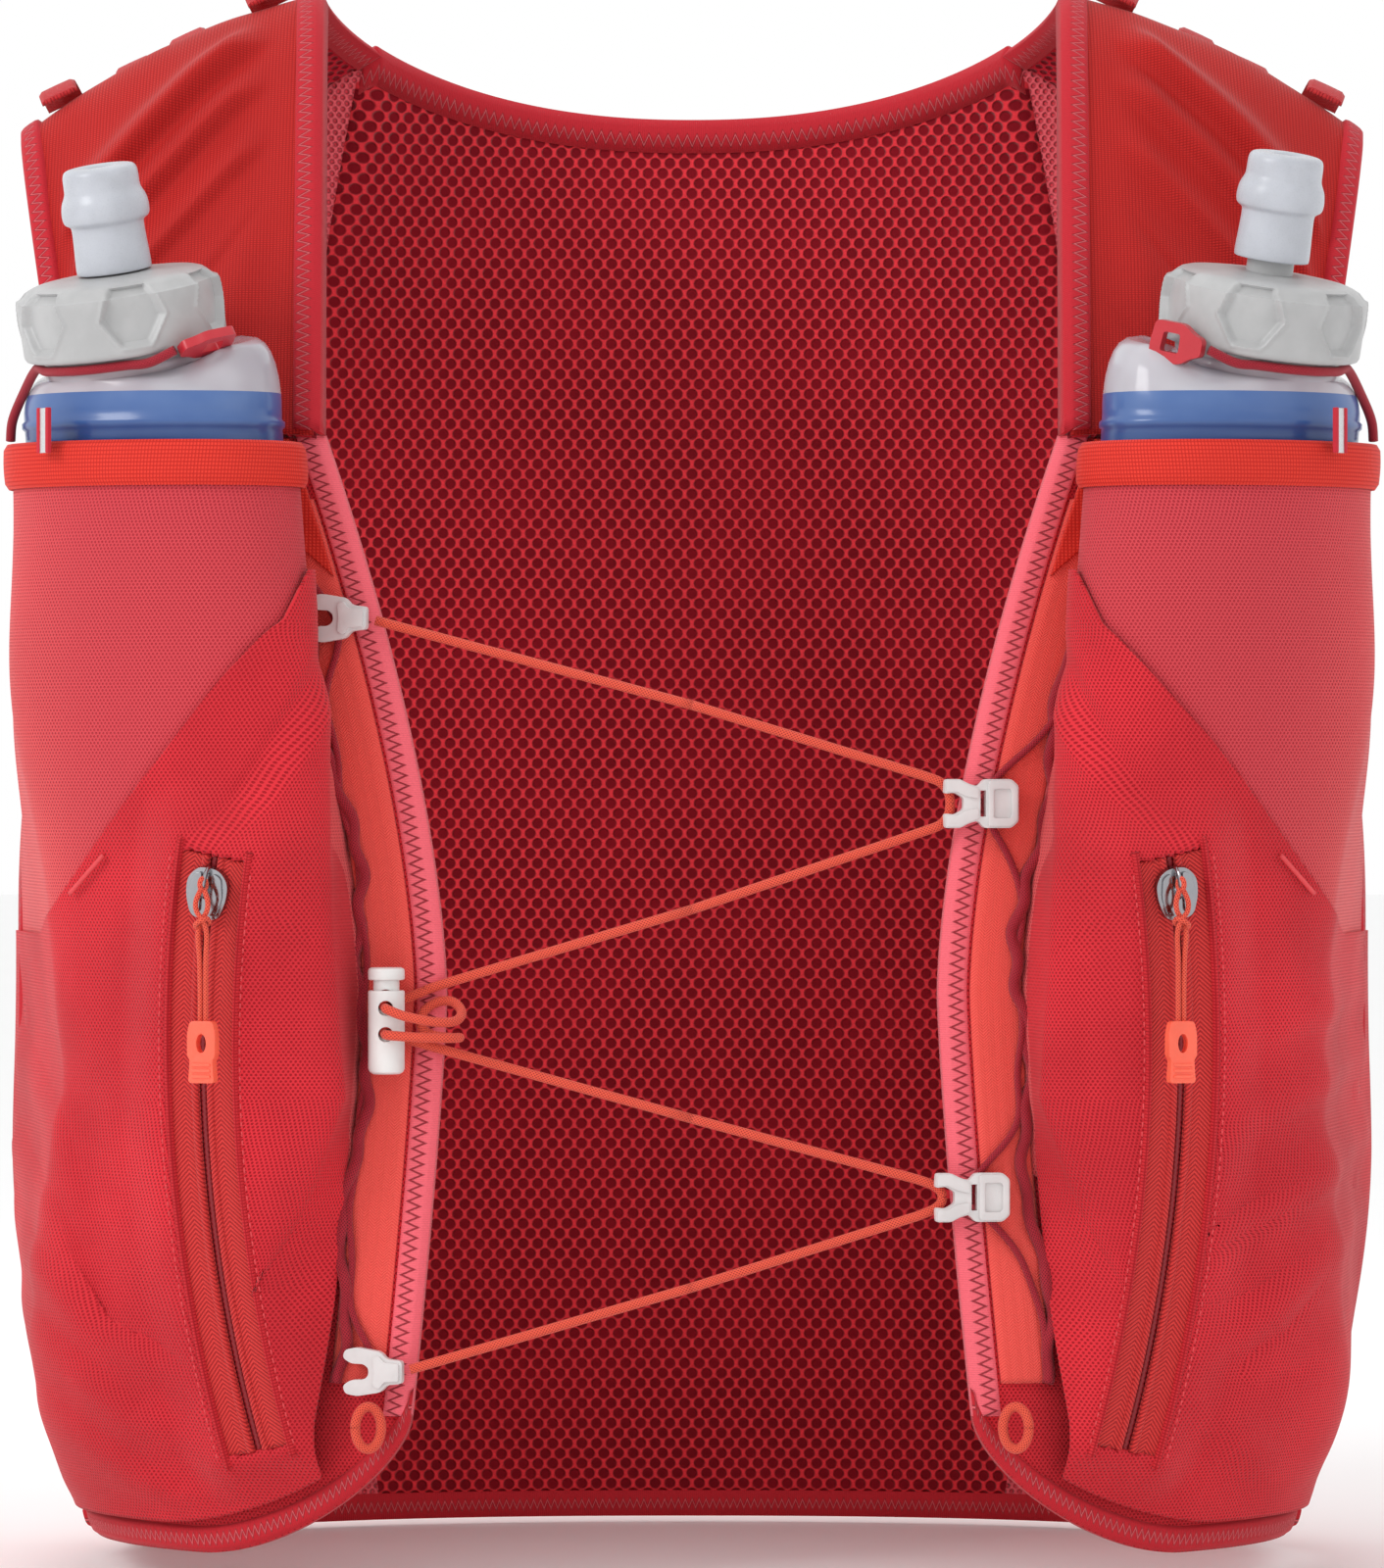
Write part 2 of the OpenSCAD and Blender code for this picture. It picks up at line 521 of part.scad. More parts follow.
module cord_lock_spring() color("#9aa0a4") at_lock() {
    low = bore_foot + spring_wire / 2 + 0.05;
    high = plunger_foot - spring_wire / 2 - 0.05;
    steps = 12 * spring_turns;
    tube([for (i = [0:steps]) [2.4 * cos(30 * i), 2.4 * sin(30 * i), mix(low, high, i / steps)]],
        spring_wire, 6);
}

module hem_loops() color("#e2483c") both_sides() in_frame() translate([79.5, -95.4, 33])
    rotate([90, 0, 12]) rotate_extrude() translate([4.2, 0]) circle(d = 2.5);

// ---------- flasks ----------
function turned(v, lean) =
    let (a = [v[0], v[1] * cos(lean[0]) - v[2] * sin(lean[0]), v[1] * sin(lean[0]) + v[2] * cos(lean[0])])
    [a[0] * cos(lean[1]) + a[2] * sin(lean[1]), a[1], a[2] * cos(lean[1]) - a[0] * sin(lean[1])];
function neck_point(r, a, h) = neck_pos + turned([r * cos(a), r * sin(a), h], neck_lean);
module on_neck() in_frame() translate(neck_pos) rotate(neck_lean) children();

flask_sides = 28;
foot_round = [[0, 0.6, 0.45], [3, 0.88, 0.8], [9, 1, 1]];   // height, width and depth shares
function body_ring(s, wide, deep) = [for (k = [0:flask_sides - 1])
    ellipse_at(flask_centre(rim_z + s), flask_p(s) * wide, flask_q(s) * deep, 360 * k / flask_sides)];
function neck_ring(h) = [for (k = [0:flask_sides - 1])
    neck_point(neck_d / 2 - 0.1, 360 * k / flask_sides + flask_turn, h)];
function shoulder_ring(a, b, turn) = [for (k = [0:flask_sides - 1])
    [mix(a[k][0], b[k][0], 1 - cos(turn)), mix(a[k][1], b[k][1], 1 - cos(turn)),
     mix(a[k][2], b[k][2], sin(turn))]];
module loft(rings) {
    n = flask_sides;
    last = len(rings) - 1;
    faces = concat([[for (k = [0:n - 1]) k]], [[for (k = [n - 1:-1:0]) last * n + k]],
        [for (i = [0:last - 1]) for (k = [0:n - 1]) let (a = i * n + k, b = i * n + (k + 1) % n)
            each [[a, a + n, b + n], [a, b + n, b]]]);
    polyhedron([for (ring = rings) each ring], faces);
}
shoulder_foot = 5;
neck_foot = -3;
module flask_body() color("#7fb0e6") {
    top = body_ring(shoulder_foot, 1, 1);
    in_frame() loft(concat(
        [for (f = foot_round) body_ring(f[0] - flask_len, f[1], f[2])],
        [for (s = [-140:28:-28]) body_ring(s, 1, 1)], [body_ring(0, 1, 1)],
        [for (k = [0.2, 0.42, 0.64, 0.82, 1]) shoulder_ring(top, neck_ring(neck_foot), 90 * k)],
        [neck_ring(neck_foot + 1.5)]));
    on_neck() {
        translate([0, 0, -4]) cylinder(d = neck_d, h = 19);
        for (h = [5, 10]) translate([0, 0, h]) rotate_extrude()
            translate([neck_d / 2 - 0.3, 0]) circle(0.6);
    }
}
seal_t = 2.2;
neck_top = 15;
module flask_seal() color("#e8e8e8") on_neck() translate([0, 0, neck_top + 0.05])
    difference() {
        cylinder(d = neck_d - 0.8, h = seal_t);
        translate([0, 0, -1]) cylinder(d = neck_d - 8, h = seal_t + 2);
    }
cap_foot = 1.6;
cap_top = cap_foot + cap_h;
cap_ceiling = neck_top + seal_t + 0.1;
stem_top = cap_top + 20;
module flask_cap() color("#b4b9bb") on_neck() difference() {
    rotate_extrude() polygon([[0, cap_ceiling], [neck_d / 2 + 0.8, cap_ceiling],
        [neck_d / 2 + 0.8, cap_foot], [cap_d / 2 - 1, cap_foot], [cap_d / 2, cap_foot + 1.2],
        [cap_d / 2, cap_top - 5], [cap_d / 2 - 4, cap_top - 1], [9.6, cap_top],
        [8.4, cap_top + 0.4], [5.5, cap_top + 0.4], [5.5, stem_top], [0, stem_top]]);
    translate([0, 0, cap_ceiling - 1]) cylinder(d = 6, h = stem_top);
    for (a = [0:60:300]) rotate([0, 0, a]) translate([cap_d / 2 + 1.2, 0, -1])
        cylinder(r = 3.6, h = cap_top - 5);
}
valve_foot = cap_top + 0.8;
module bite_valve(raised) color("#dfe7ea") on_neck() translate([0, 0, valve_foot + raised])
    difference() {
        rotate_extrude() polygon([[0, 0], [9.3, 0], [9, 11.5], [10.4, 12.6], [10.7, 14.5],
            [10.4, 17.6], [9.4, 20], [9.2, 24.2], [8, 25.6], [5, 26], [0, 26]]);
        translate([0, 0, -1]) cylinder(r = 5.6, h = 22.5);
        translate([0, 0, 18]) cylinder(r = 1.8, h = 12);
    }

// ---------- flask retainers and rim loops ----------
retainer_d = 2.4;
tab_at = [28.2, -118, 2.2];   // radius, angle and height of the retainer's end
cord_h = -0.1;                 // the cord lies just under the cap
module retainer_cord() color(maroon) in_frame() tube(concat(
    [[168, -87, 276.2], [167.4, -88.6, 281], [164.8, -92.4, 286.6]],
    [for (a = [-12:-20:-92]) neck_point(22.8, a, cord_h)],
    [neck_point(24.8, -105, cord_h), neck_point(tab_at[0], tab_at[1], tab_at[2])]), retainer_d);
module retainer_tab() color(maroon) in_frame()
    translate(neck_point(tab_at[0], tab_at[1], tab_at[2])) rotate(neck_lean) rotate([0, 0, 148])
        translate([8.5, 1.2, 0]) difference() {
            rounded_plate(14.4, 10, 2.4, 2.2);
            translate([0.8, 1, 0]) rounded_plate(7, 4, 5, 1);
        }
module reflective_loops() color("#d7d9da") both_sides()
    in_frame() translate([157, -115.8, 277.4]) rotate([0, 0, 52])
        rounded_plate(5, 11, 0.8, 0.6);

// ---------- webbing loops ----------
module webbing_arch(r, span, width, t) translate([0, 0, -r * cos(span / 2)])
    rotate([90, 0, 0]) rotate([0, 0, 90 - span / 2]) translate([0, 0, -width / 2])
        rotate_extrude(angle = span) translate([r, 0]) square([t, width]);
loop_seats = [[0.04, 0.16], [0.3, 0.42], [0.3, 0.6], [0.04, 0.84]];   // along and across the strap
module shoulder_loops() color("#e8412c") both_sides() in_frame() for (seat = loop_seats)
    translate(strap(seat[0], seat[1], yoke_off + 2 * cloth)) rotate([-20 * seat[0], 25, 0])
        rotate([0, 0, 90]) webbing_arch(14, 80, 10, 1.3);
module hang_loop() color(coral) in_frame() translate([0, 101.6, 359]) rotate([90, 0, 0])
    rotate_extrude(angle = 180) translate([9, 0]) circle(d = 3);

front_panel();  // front_panel_left
other_side() front_panel();  // front_panel_right
side_panel();  // side_panel_left
other_side() side_panel();  // side_panel_right
shoulder_yoke();  // shoulder_yoke_left
other_side() shoulder_yoke();  // shoulder_yoke_right
front_binding();  // front_binding_left
other_side() front_binding();  // front_binding_right
armhole_binding();  // armhole_binding_left
other_side() armhole_binding();  // armhole_binding_right
flask_pocket();  // flask_pocket_left
other_side() flask_pocket();  // flask_pocket_right
flask_band();  // flask_band_left
other_side() flask_band();  // flask_band_right
stash_pocket();  // stash_pocket_left
other_side() stash_pocket();  // stash_pocket_right
zip_tape();  // zip_tape_left
other_side() zip_tape();  // zip_tape_right
zip_slider();  // zip_slider_left
other_side() zip_slider();  // zip_slider_right
zip_pull();  // zip_pull_left
other_side() zip_pull();  // zip_pull_right
rail_webbing();  // rail_webbing_left
other_side() rail_webbing();  // rail_webbing_right
flask_body();  // flask_body_left
other_side() flask_body();  // flask_body_right
flask_seal();  // flask_seal_left
other_side() flask_seal();  // flask_seal_right
flask_cap();  // flask_cap_left
other_side() flask_cap();  // flask_cap_right
retainer_cord();  // retainer_cord_left
other_side() retainer_cord();  // retainer_cord_right
retainer_tab();  // retainer_tab_left
other_side() retainer_tab();  // retainer_tab_right
bite_valve(valve_travel - 1);  // bite_valve_left
other_side() bite_valve(0);  // bite_valve_right
back_mesh_panel();
back_shell();
back_stretch_pocket();
back_pocket_band();
back_zip();
back_zip_slider();
shoulder_linings();
shoulder_loops();
hang_loop();
neck_binding();
hem_binding();
zip_coils();
chest_bungee();
cord_lock_barrel();
cord_lock_plunger();
cord_lock_spring();
hem_loops();
reflective_loops();
rail_cords();
claw_hook(hook_up);  // chest_hook_upper_left
claw_hook(hook_down);  // chest_hook_lower_left
other_side() fork_hook(fork_up);  // chest_hook_upper_right
other_side() fork_hook(fork_down);  // chest_hook_lower_right
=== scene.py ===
"""Running hydration pack with two soft flasks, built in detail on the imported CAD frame."""
from functools import lru_cache
import math
import bmesh
import bpy
from mathutils import Matrix, Vector, noise

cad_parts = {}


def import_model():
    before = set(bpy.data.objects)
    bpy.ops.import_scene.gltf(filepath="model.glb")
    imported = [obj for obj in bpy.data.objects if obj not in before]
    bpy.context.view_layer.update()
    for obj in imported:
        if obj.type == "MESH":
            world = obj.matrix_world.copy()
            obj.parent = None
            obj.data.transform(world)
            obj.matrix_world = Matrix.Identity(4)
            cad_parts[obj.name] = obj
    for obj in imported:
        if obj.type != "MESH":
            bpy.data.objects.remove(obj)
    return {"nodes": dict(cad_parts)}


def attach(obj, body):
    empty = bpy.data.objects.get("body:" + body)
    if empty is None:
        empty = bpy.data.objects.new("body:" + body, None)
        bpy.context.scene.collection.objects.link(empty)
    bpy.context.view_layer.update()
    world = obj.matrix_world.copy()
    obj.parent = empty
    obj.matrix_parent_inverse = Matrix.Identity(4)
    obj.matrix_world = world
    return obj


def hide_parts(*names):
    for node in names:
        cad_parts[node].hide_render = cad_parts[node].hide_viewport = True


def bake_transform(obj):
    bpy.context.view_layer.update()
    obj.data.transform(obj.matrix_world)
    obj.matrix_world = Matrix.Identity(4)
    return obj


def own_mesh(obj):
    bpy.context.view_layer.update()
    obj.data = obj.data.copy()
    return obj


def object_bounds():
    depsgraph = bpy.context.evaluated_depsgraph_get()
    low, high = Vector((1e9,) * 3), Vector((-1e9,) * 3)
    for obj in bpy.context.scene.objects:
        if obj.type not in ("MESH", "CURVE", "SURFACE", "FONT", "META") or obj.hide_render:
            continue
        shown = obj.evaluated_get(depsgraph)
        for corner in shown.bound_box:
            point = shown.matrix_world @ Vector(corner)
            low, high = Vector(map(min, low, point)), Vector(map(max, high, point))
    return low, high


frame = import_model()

cad_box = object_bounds()

# ---------- driving numbers, in millimetres, with heights above the front hem ----------
MM = 0.001
VEST_H, REST_DROP = 393, 5
WAIST_A, CHEST_A, CHEST_B = 152, 171, 96
CLOTH, BINDING_W, RAIL_W = 1.0, 7, 11
RIM_Z, BAND_H = 275, 11
ZIP_W, ZIP_R, ZIP_SPAN, ZIP_SLIT = 17, 360, 24, 1.8
FLASK_W, FLASK_D, FLASK_LEN = 68, 48, 163
CAP_D, CAP_H, CAP_FOOT, NECK_D, NECK_FOOT = 51, 18.4, 1.6, 42, -3
BUNGEE_D = 2.4
LOCK_D, LOCK_H = 9, 20.5
SPRING_R, SPRING_WIRE, SPRING_TURNS = 2.4, 0.7, 4
SQUARENESS, FLARE_H, STRAP_Z = 2.3, 100, 278
ARM_Z, ARM_FRONT, ARM_BACK = 120, 26, -34
HEM_CORNER_W, HEM_CORNER_H, HEM_CORNER_X, BACK_HEM_Z = 58, 36, 127, -6
NECK_X, NECK_Y, NECK_DROP, STRAP_BACK = 94, 91, 24, 30
GAP, MESH_T, BULGE, YOKE_OFF, POCKET_V = 0.3, 3.5, 7, 2.2, 0.46
SEAM_INSET = BINDING_W + RAIL_W + 1.5
FLASK_LAYER, STASH_LAYER = 1.2, 3.2
SIDES = (("left", 1), ("right", -1))


def clamp01(v):
    """The value held between 0 and 1."""
    return min(1.0, max(0.0, v))


def smooth(v):
    """An eased step from 0 to 1."""
    c = clamp01(v)
    return c * c * (3 - 2 * c)


def mix(a, b, v):
    """The value a share v of the way from a to b."""
    return a + (b - a) * v


def quarter(v):
    """A quarter circle's rise from 0 to 1, steep at first."""
    return math.sqrt(1 - (1 - clamp01(v)) ** 2)


def sin_d(a):
    return math.sin(math.radians(a))


def cos_d(a):
    return math.cos(math.radians(a))


def world(p, sign=1):
    """A point in millimetres above the front hem, as metres in the shared frame; sign -1 mirrors it."""
    return Vector((sign * p[0], p[1], in_frame(p[2]))) * MM


def in_frame(z):
    """A height above the front hem as a height in the shared frame, in millimetres."""
    return z + REST_DROP - VEST_H


# ---------- the vest's shape, as in the CAD model ----------
def torso_a(z):
    """Half width of the torso, which widens from the waist to the chest."""
    return mix(WAIST_A, CHEST_A, sin_d(90 * clamp01(z / FLARE_H)))


def torso_b(z, angle):
    """Half depth of the torso; the front thins at its top."""
    return CHEST_B - 8 * clamp01((z - 200) / 78) ** 2 if angle > 0 else CHEST_B


def torso(angle, z, off):
    """A point of the torso: degrees from the side, positive to the front, a height and how far out."""
    s, c = sin_d(angle), cos_d(angle)
    return Vector(((torso_a(z) + off) * abs(c) ** (2 / SQUARENESS),
                   -math.copysign(1, s) * (torso_b(z, angle) + off) * abs(s) ** (2 / SQUARENESS), z))


def torso_angle(x, z):
    """The angle at which the torso has a half width."""
    return math.degrees(math.acos(min(1, (x / torso_a(z)) ** (SQUARENESS / 2))))


def edge_x(z):
    """Half width of the gap between the two front edges."""
    if z > 140:
        return 60.5 + 30.5 * ((z - 140) / 138) ** 1.6
    return 60.5 + 8.5 * ((140 - max(z, HEM_CORNER_H)) / 104) ** 1.3


def hem_z(x):
    """Height of the front hem, which rises in a rounded corner to the front edge."""
    k = clamp01((HEM_CORNER_X - x) / HEM_CORNER_W)
    return HEM_CORNER_H * (1 - (1 - k ** 1.6) ** (1 / 1.6))


def side_angle(z):
    """Where the front panel ends at the side: forward, above the foot of the armhole."""
    return ARM_FRONT * smooth((z - ARM_Z) / 150)


def front(u, z, off, inset=0.0):
    """A point of the front panel: u from its front edge to the side."""
    return torso(mix(torso_angle(edge_x(z) + inset, z), side_angle(z), u), z, off)


def front_v(u, v, off, inset, top):
    """A point of the front panel: u as in front, v from the hem to the top."""
    x = front(u, HEM_CORNER_H, 0, inset)[0]
    return front(u, mix(hem_z(x), top, v), off, inset)


def neckline(a):
    """The neck's edge: the side at 0 degrees, the middle of the back at 90."""
    y = NECK_Y * sin_d(a) ** (2 / 2.2)
    return Vector((NECK_X * cos_d(a) ** (2 / 2.2), y, VEST_H - NECK_DROP * (y / NECK_Y) ** 1.6))


def strap_inner(s):
    if s < 0:
        return Vector((mix(NECK_X, 91, -s), mix(0, -80, -s), STRAP_Z + (VEST_H - STRAP_Z) * cos_d(90 * s)))
    return neckline(STRAP_BACK * s)


def strap_outer(s):
    if s < 0:
        return Vector((158 + 14 * cos_d(90 * s), 2 + 44 * s,
                       STRAP_Z + (VEST_H - 37 - STRAP_Z) * cos_d(90 * s)))
    return Vector((172 - 10 * s * s, 2 + 48 * s, VEST_H - 37 - 36 * (1 - cos_d(90 * s))))


def strap(s, w, off):
    """A point of the shoulder strap: s from -1 at the front to 1 at the back, w from neck to arm."""
    inner, outer = strap_inner(s), strap_outer(s)
    along = (strap_inner(s + 0.01) - strap_inner(s - 0.01)).lerp(strap_outer(s + 0.01)
                                                                 - strap_outer(s - 0.01), w)
    up = (outer - inner).cross(along).normalized()
    return inner.lerp(outer, w) + up * (off + 5 * sin_d(180 * w))


def back_top(u):
    """The back's upper edge: the neckline, then the strap's seam."""
    if u < 0.6:
        return neckline(90 - (90 - STRAP_BACK) * u / 0.6)
    return strap(0.999, (u - 0.6) / 0.4, 0)


def back_edge(z):
    """Where the back ends at the side: further back, above the foot of the armhole."""
    return ARM_BACK * quarter((z - ARM_Z) / 90)


def back(u, v, off):
    """A point of the back: u from the middle to the side, v from the hem to the top."""
    top = back_top(u)
    z = mix(mix(BACK_HEM_Z, -0.5, smooth((u - 0.7) / 0.3)), top[2], v)
    low = torso(mix(-90, min(-0.02, back_edge(z)), u), z, off)
    w = clamp01((z - 260) / (top[2] - 260)) ** 1.5
    lean = Vector((top[0] / 4, top[1], 60)).normalized()
    return Vector((mix(low[0], top[0] + off * lean[0], w), mix(low[1], top[1] + off * lean[1], w),
                   z + off * w * lean[2]))


def back_wide(u, v, off):
    """A point of the back with u from -1 to 1, over both sides."""
    p = back(abs(u), v, off)
    return Vector((math.copysign(p[0], u), p[1], p[2]))


def mesh_share(v):
    """The spacer mesh's share of the back's half width."""
    return mix(0.34, 0.62, smooth(v / 0.9))


def shell(u, v, off):
    """A point of the storage shell, which swells away from the spacer mesh."""
    rise = smooth((1 - abs(u)) / 0.5) * smooth(v / 0.15) * smooth((1 - v) / 0.3)
    return back_wide(u, v, off + MESH_T + GAP + 0.5 + BULGE * rise)


# ---------- the flask and the pocket drawn over it ----------
FLASK_POS, FLASK_LEAN, FLASK_TURN = (132, -95), (2, 4), 27
NECK_POS, NECK_LEAN = Vector((138.5, -97, RIM_Z + 22)), (10, 8)


def flask_q(s):
    """Half depth of the flask, s millimetres above the rim."""
    return mix(9, FLASK_D / 2, smooth((s + FLASK_LEN) / 182))


def flask_p(s):
    """Half width of the flask, s millimetres above the rim."""
    return FLASK_W / 2 + smooth(-s / 60)


def flask_centre(z):
    """The middle of the leaning flask at a height."""
    s = z - RIM_Z
    return Vector((FLASK_POS[0] + s * math.tan(math.radians(FLASK_LEAN[1])),
                   FLASK_POS[1] - s * math.tan(math.radians(FLASK_LEAN[0])), z))


def ellipse_at(c, p, q, a):
    """A point of an ellipse that is turned like the flask."""
    ct, st = cos_d(FLASK_TURN), sin_d(FLASK_TURN)
    return Vector((c[0] + p * cos_d(a) * ct - q * sin_d(a) * st,
                   c[1] + p * cos_d(a) * st + q * sin_d(a) * ct, c[2]))


def tangent(point, c, p, q, turn):
    ct, st = cos_d(FLASK_TURN), sin_d(FLASK_TURN)
    dx, dy = point[0] - c[0], point[1] - c[1]
    lx, ly = (dx * ct + dy * st) / p, (dy * ct - dx * st) / q
    return math.degrees(math.atan2(ly,
                                   lx)) + turn * math.degrees(math.acos(1 / max(1.001, math.hypot(lx, ly))))


# The swell of the pocket's outer side: how far out, round which height and over what height
SWELL_OUT, SWELL_Z, SWELL_H = 5.2, 212, 36


def drape(u, z, off):
    """Pocket fabric, taut from the rail round the flask to the side."""
    s = z - RIM_Z
    start, end = front(0, z, off, SEAM_INSET), front(1, z, off, SEAM_INSET)
    c, p, q = flask_centre(z), flask_p(s) + 1.2 + off, flask_q(s) + 1.2 + off
    a1, a2 = tangent(start, c, p, q, 1), tangent(end, c, p, q, -1)
    if a2 < a1:
        a2 += 360
    if u < 0.25:
        hugged = start.lerp(ellipse_at(c, p, q, a1), u / 0.25)
    elif u > 0.8:
        hugged = ellipse_at(c, p, q, a2).lerp(end, (u - 0.8) / 0.2)
    else:
        hugged = ellipse_at(c, p, q, mix(a1, a2, (u - 0.25) / 0.55))
    swell = SWELL_OUT * math.exp(-((z - SWELL_Z) / SWELL_H) ** 2)
    hugged[0] += swell * smooth((u - 0.5) / 0.25) * smooth((1 - u) / 0.12)
    flat = front(u, z, off + 14 * smooth(z / 45) * sin_d(180 * u), SEAM_INSET)
    return flat.lerp(hugged, clamp01((z - 5) / 110))


# ---------- meshes ----------
def make_object(name, verts, faces, uvs=None):
    """An object from points in metres; uvs holds one pair for each vertex, also in metres."""
    mesh = bpy.data.meshes.new(name)
    mesh.from_pydata([tuple(v) for v in verts], [], faces)
    if uvs:
        layer = mesh.uv_layers.new(name="fabric")
        for loop in mesh.loops:
            layer.data[loop.index].uv = uvs[loop.vertex_index]
    mesh.polygons.foreach_set("use_smooth", [True] * len(mesh.polygons))
    mesh.update()
    return shown(name, mesh)


def shown(name, data):
    """An object that holds the data, in the scene."""
    obj = bpy.data.objects.new(name, data)
    bpy.context.scene.collection.objects.link(obj)
    return obj


def grid_faces(rows, columns, turned):
    """The quads of a grid of points that is listed row by row."""
    faces = []
    for i in range(rows - 1):
        for k in range(columns - 1):
            a, b = i * columns + k, (i + 1) * columns + k
            faces.append((a, a + 1, b + 1, b) if turned else (a, b, b + 1, a + 1))
    return faces


def arc_lengths(points):
    total, out = 0.0, [0.0]
    for a, b in zip(points, points[1:]):
        total += (b - a).length
        out.append(total)
    return out


def cloth_area(grid):
    """The area of a grid of points."""
    total = 0
    for left, right in zip(grid, grid[1:]):
        for a, b, c, d in zip(left, right, left[1:], right[1:]):
            total += ((d - a).cross(b - c)).length / 2
    return total


def fabric(name, skin, nu, nv, sign=1, thick=CLOTH, grain=None, cover=None):
    """A sheet over skin(u, v), in millimetres, whose outer face is on the side of u x v.

    Weave coordinates are distances along the cloth, or grain(u, v, point) in millimetres.
    cover(u, v, point) says from 0 to 1 how much of what lies behind shows through.
    """
    grid = [[skin(i / nu, j / nv) for j in range(nv + 1)] for i in range(nu + 1)]
    rows = [arc_lengths([grid[i][j] for i in range(nu + 1)]) for j in range(nv + 1)]
    columns = [arc_lengths(grid[i]) for i in range(nu + 1)]
    verts, uvs = [], []
    for i in range(nu + 1):
        for j in range(nv + 1):
            p = grid[i][j]
            verts.append(world(p, sign))
            uv = grain(i / nu, j / nv, p) if grain else (rows[j][i] - rows[j][nu // 2], columns[i][j])
            uvs.append((uv[0] * MM, uv[1] * MM))
    obj = make_object(name, verts, grid_faces(nu + 1, nv + 1, sign < 0), uvs)
    if cover:
        shares = obj.data.attributes.new("cover", "FLOAT", "POINT")
        shares.data.foreach_set("value", [cover(i / nu, j / nv, grid[i][j])
                                          for i in range(nu + 1) for j in range(nv + 1)])
    solid = obj.modifiers.new("cloth", "SOLIDIFY")
    solid.thickness = thick * MM
    solid.offset = -1
    flat = max(row[-1] for row in rows) * MM, max(column[-1] for column in columns) * MM
    min(cloth_area(grid) * MM * MM,
                                                                     flat[0] * flat[1])
    return obj


def sweep(name, place, profile, steps, sign=1):
    """A strip whose outline profile, a list of (across, out), runs along place(t, across, out)."""
    count = len(profile)
    rings = [[place(i / steps, a, b) for a, b in profile] for i in range(steps + 1)]
    along = arc_lengths([r[0] for r in rings])
    verts, uvs = [], []
    for ring, length in zip(rings, along):
        for k in range(count + 1):
            verts.append(world(ring[k % count], sign))
            uvs.append((profile[k % count][0] * MM, length * MM))
    last = steps * (count + 1)
    caps = [tuple(range(count)), tuple(range(last + count - 1, last - 1, -1))]
    faces = grid_faces(steps + 1, count + 1, sign > 0) + [c if sign < 0 else c[::-1] for c in caps]
    return make_object(name, verts, faces, uvs)


def strip_profile(a0, a1, low, high, crown=0.0, steps=8):
    """Outline of a strip from a0 to a1 across: rounded edges and a slightly crowned top."""
    r = min((high - low) / 2, abs(a1 - a0) / 4)
    top = []
    for k in range(steps + 1):
        share = k / steps
        edge = min(share, 1 - share) * abs(a1 - a0)
        drop = r - math.sqrt(max(0, r * r - max(0, r - edge) ** 2))
        top.append((mix(a0, a1, share), high - drop + crown * math.sin(math.pi * share)))
    return top + [(a1, low), (a0, low)]


def spline(points, per=6):
    """Catmull-Rom curve through the points."""
    pts = [Vector(p) for p in points]
    out = []
    for i in range(len(pts) - 1):
        a, b, c, d = pts[max(0, i - 1)], pts[i], pts[i + 1], pts[min(len(pts) - 1, i + 2)]
        for k in range(per):
            t = k / per
            out.append(0.5 * ((2 * b) + (c - a) * t + (2 * a - 5 * b + 4 * c - d) * t * t
                              + (3 * b - a - 3 * c + d) * t ** 3))
    return out + [pts[-1]]


def tube(name, route, d, sign=1, sides=12, flat=1.0):
    """A cord along the route, in millimetres; flat below 1 presses its section."""
    pts = [Vector(p) for p in route]
    along = arc_lengths(pts)
    side = None
    verts, uvs = [], []
    for i, p in enumerate(pts):
        ahead = (pts[min(i + 1, len(pts) - 1)] - pts[max(i - 1, 0)]).normalized()
        if side is None:
            side = ahead.cross(Vector((0, 1, 0) if abs(ahead[1]) < 0.9 else (1, 0, 0))).normalized()
        side = (side - ahead * side.dot(ahead)).normalized()
        up = ahead.cross(side)
        for k in range(sides + 1):
            a = 2 * math.pi * k / sides
            q = p + (side * math.cos(a) + up * math.sin(a) * flat) * d / 2
            verts.append(world(q, sign))
            uvs.append((d / 2 * a * MM, along[i] * MM))
    last = (len(pts) - 1) * (sides + 1)
    start_cap, end_cap = tuple(range(sides))[::-1], tuple(range(last, last + sides))
    caps = [start_cap, end_cap] if sign > 0 else [start_cap[::-1], end_cap[::-1]]
    return weld(make_object(name, verts, grid_faces(len(pts), sides + 1, sign > 0) + caps, uvs))


def weld(obj, dist=1e-6):
    """Joins the points that meet and turns the faces outwards."""
    bm = bmesh.new()
    bm.from_mesh(obj.data)
    bmesh.ops.remove_doubles(bm, verts=bm.verts, dist=dist)
    bmesh.ops.recalc_face_normals(bm, faces=bm.faces)
    bm.to_mesh(obj.data)
    bm.free()
    return obj


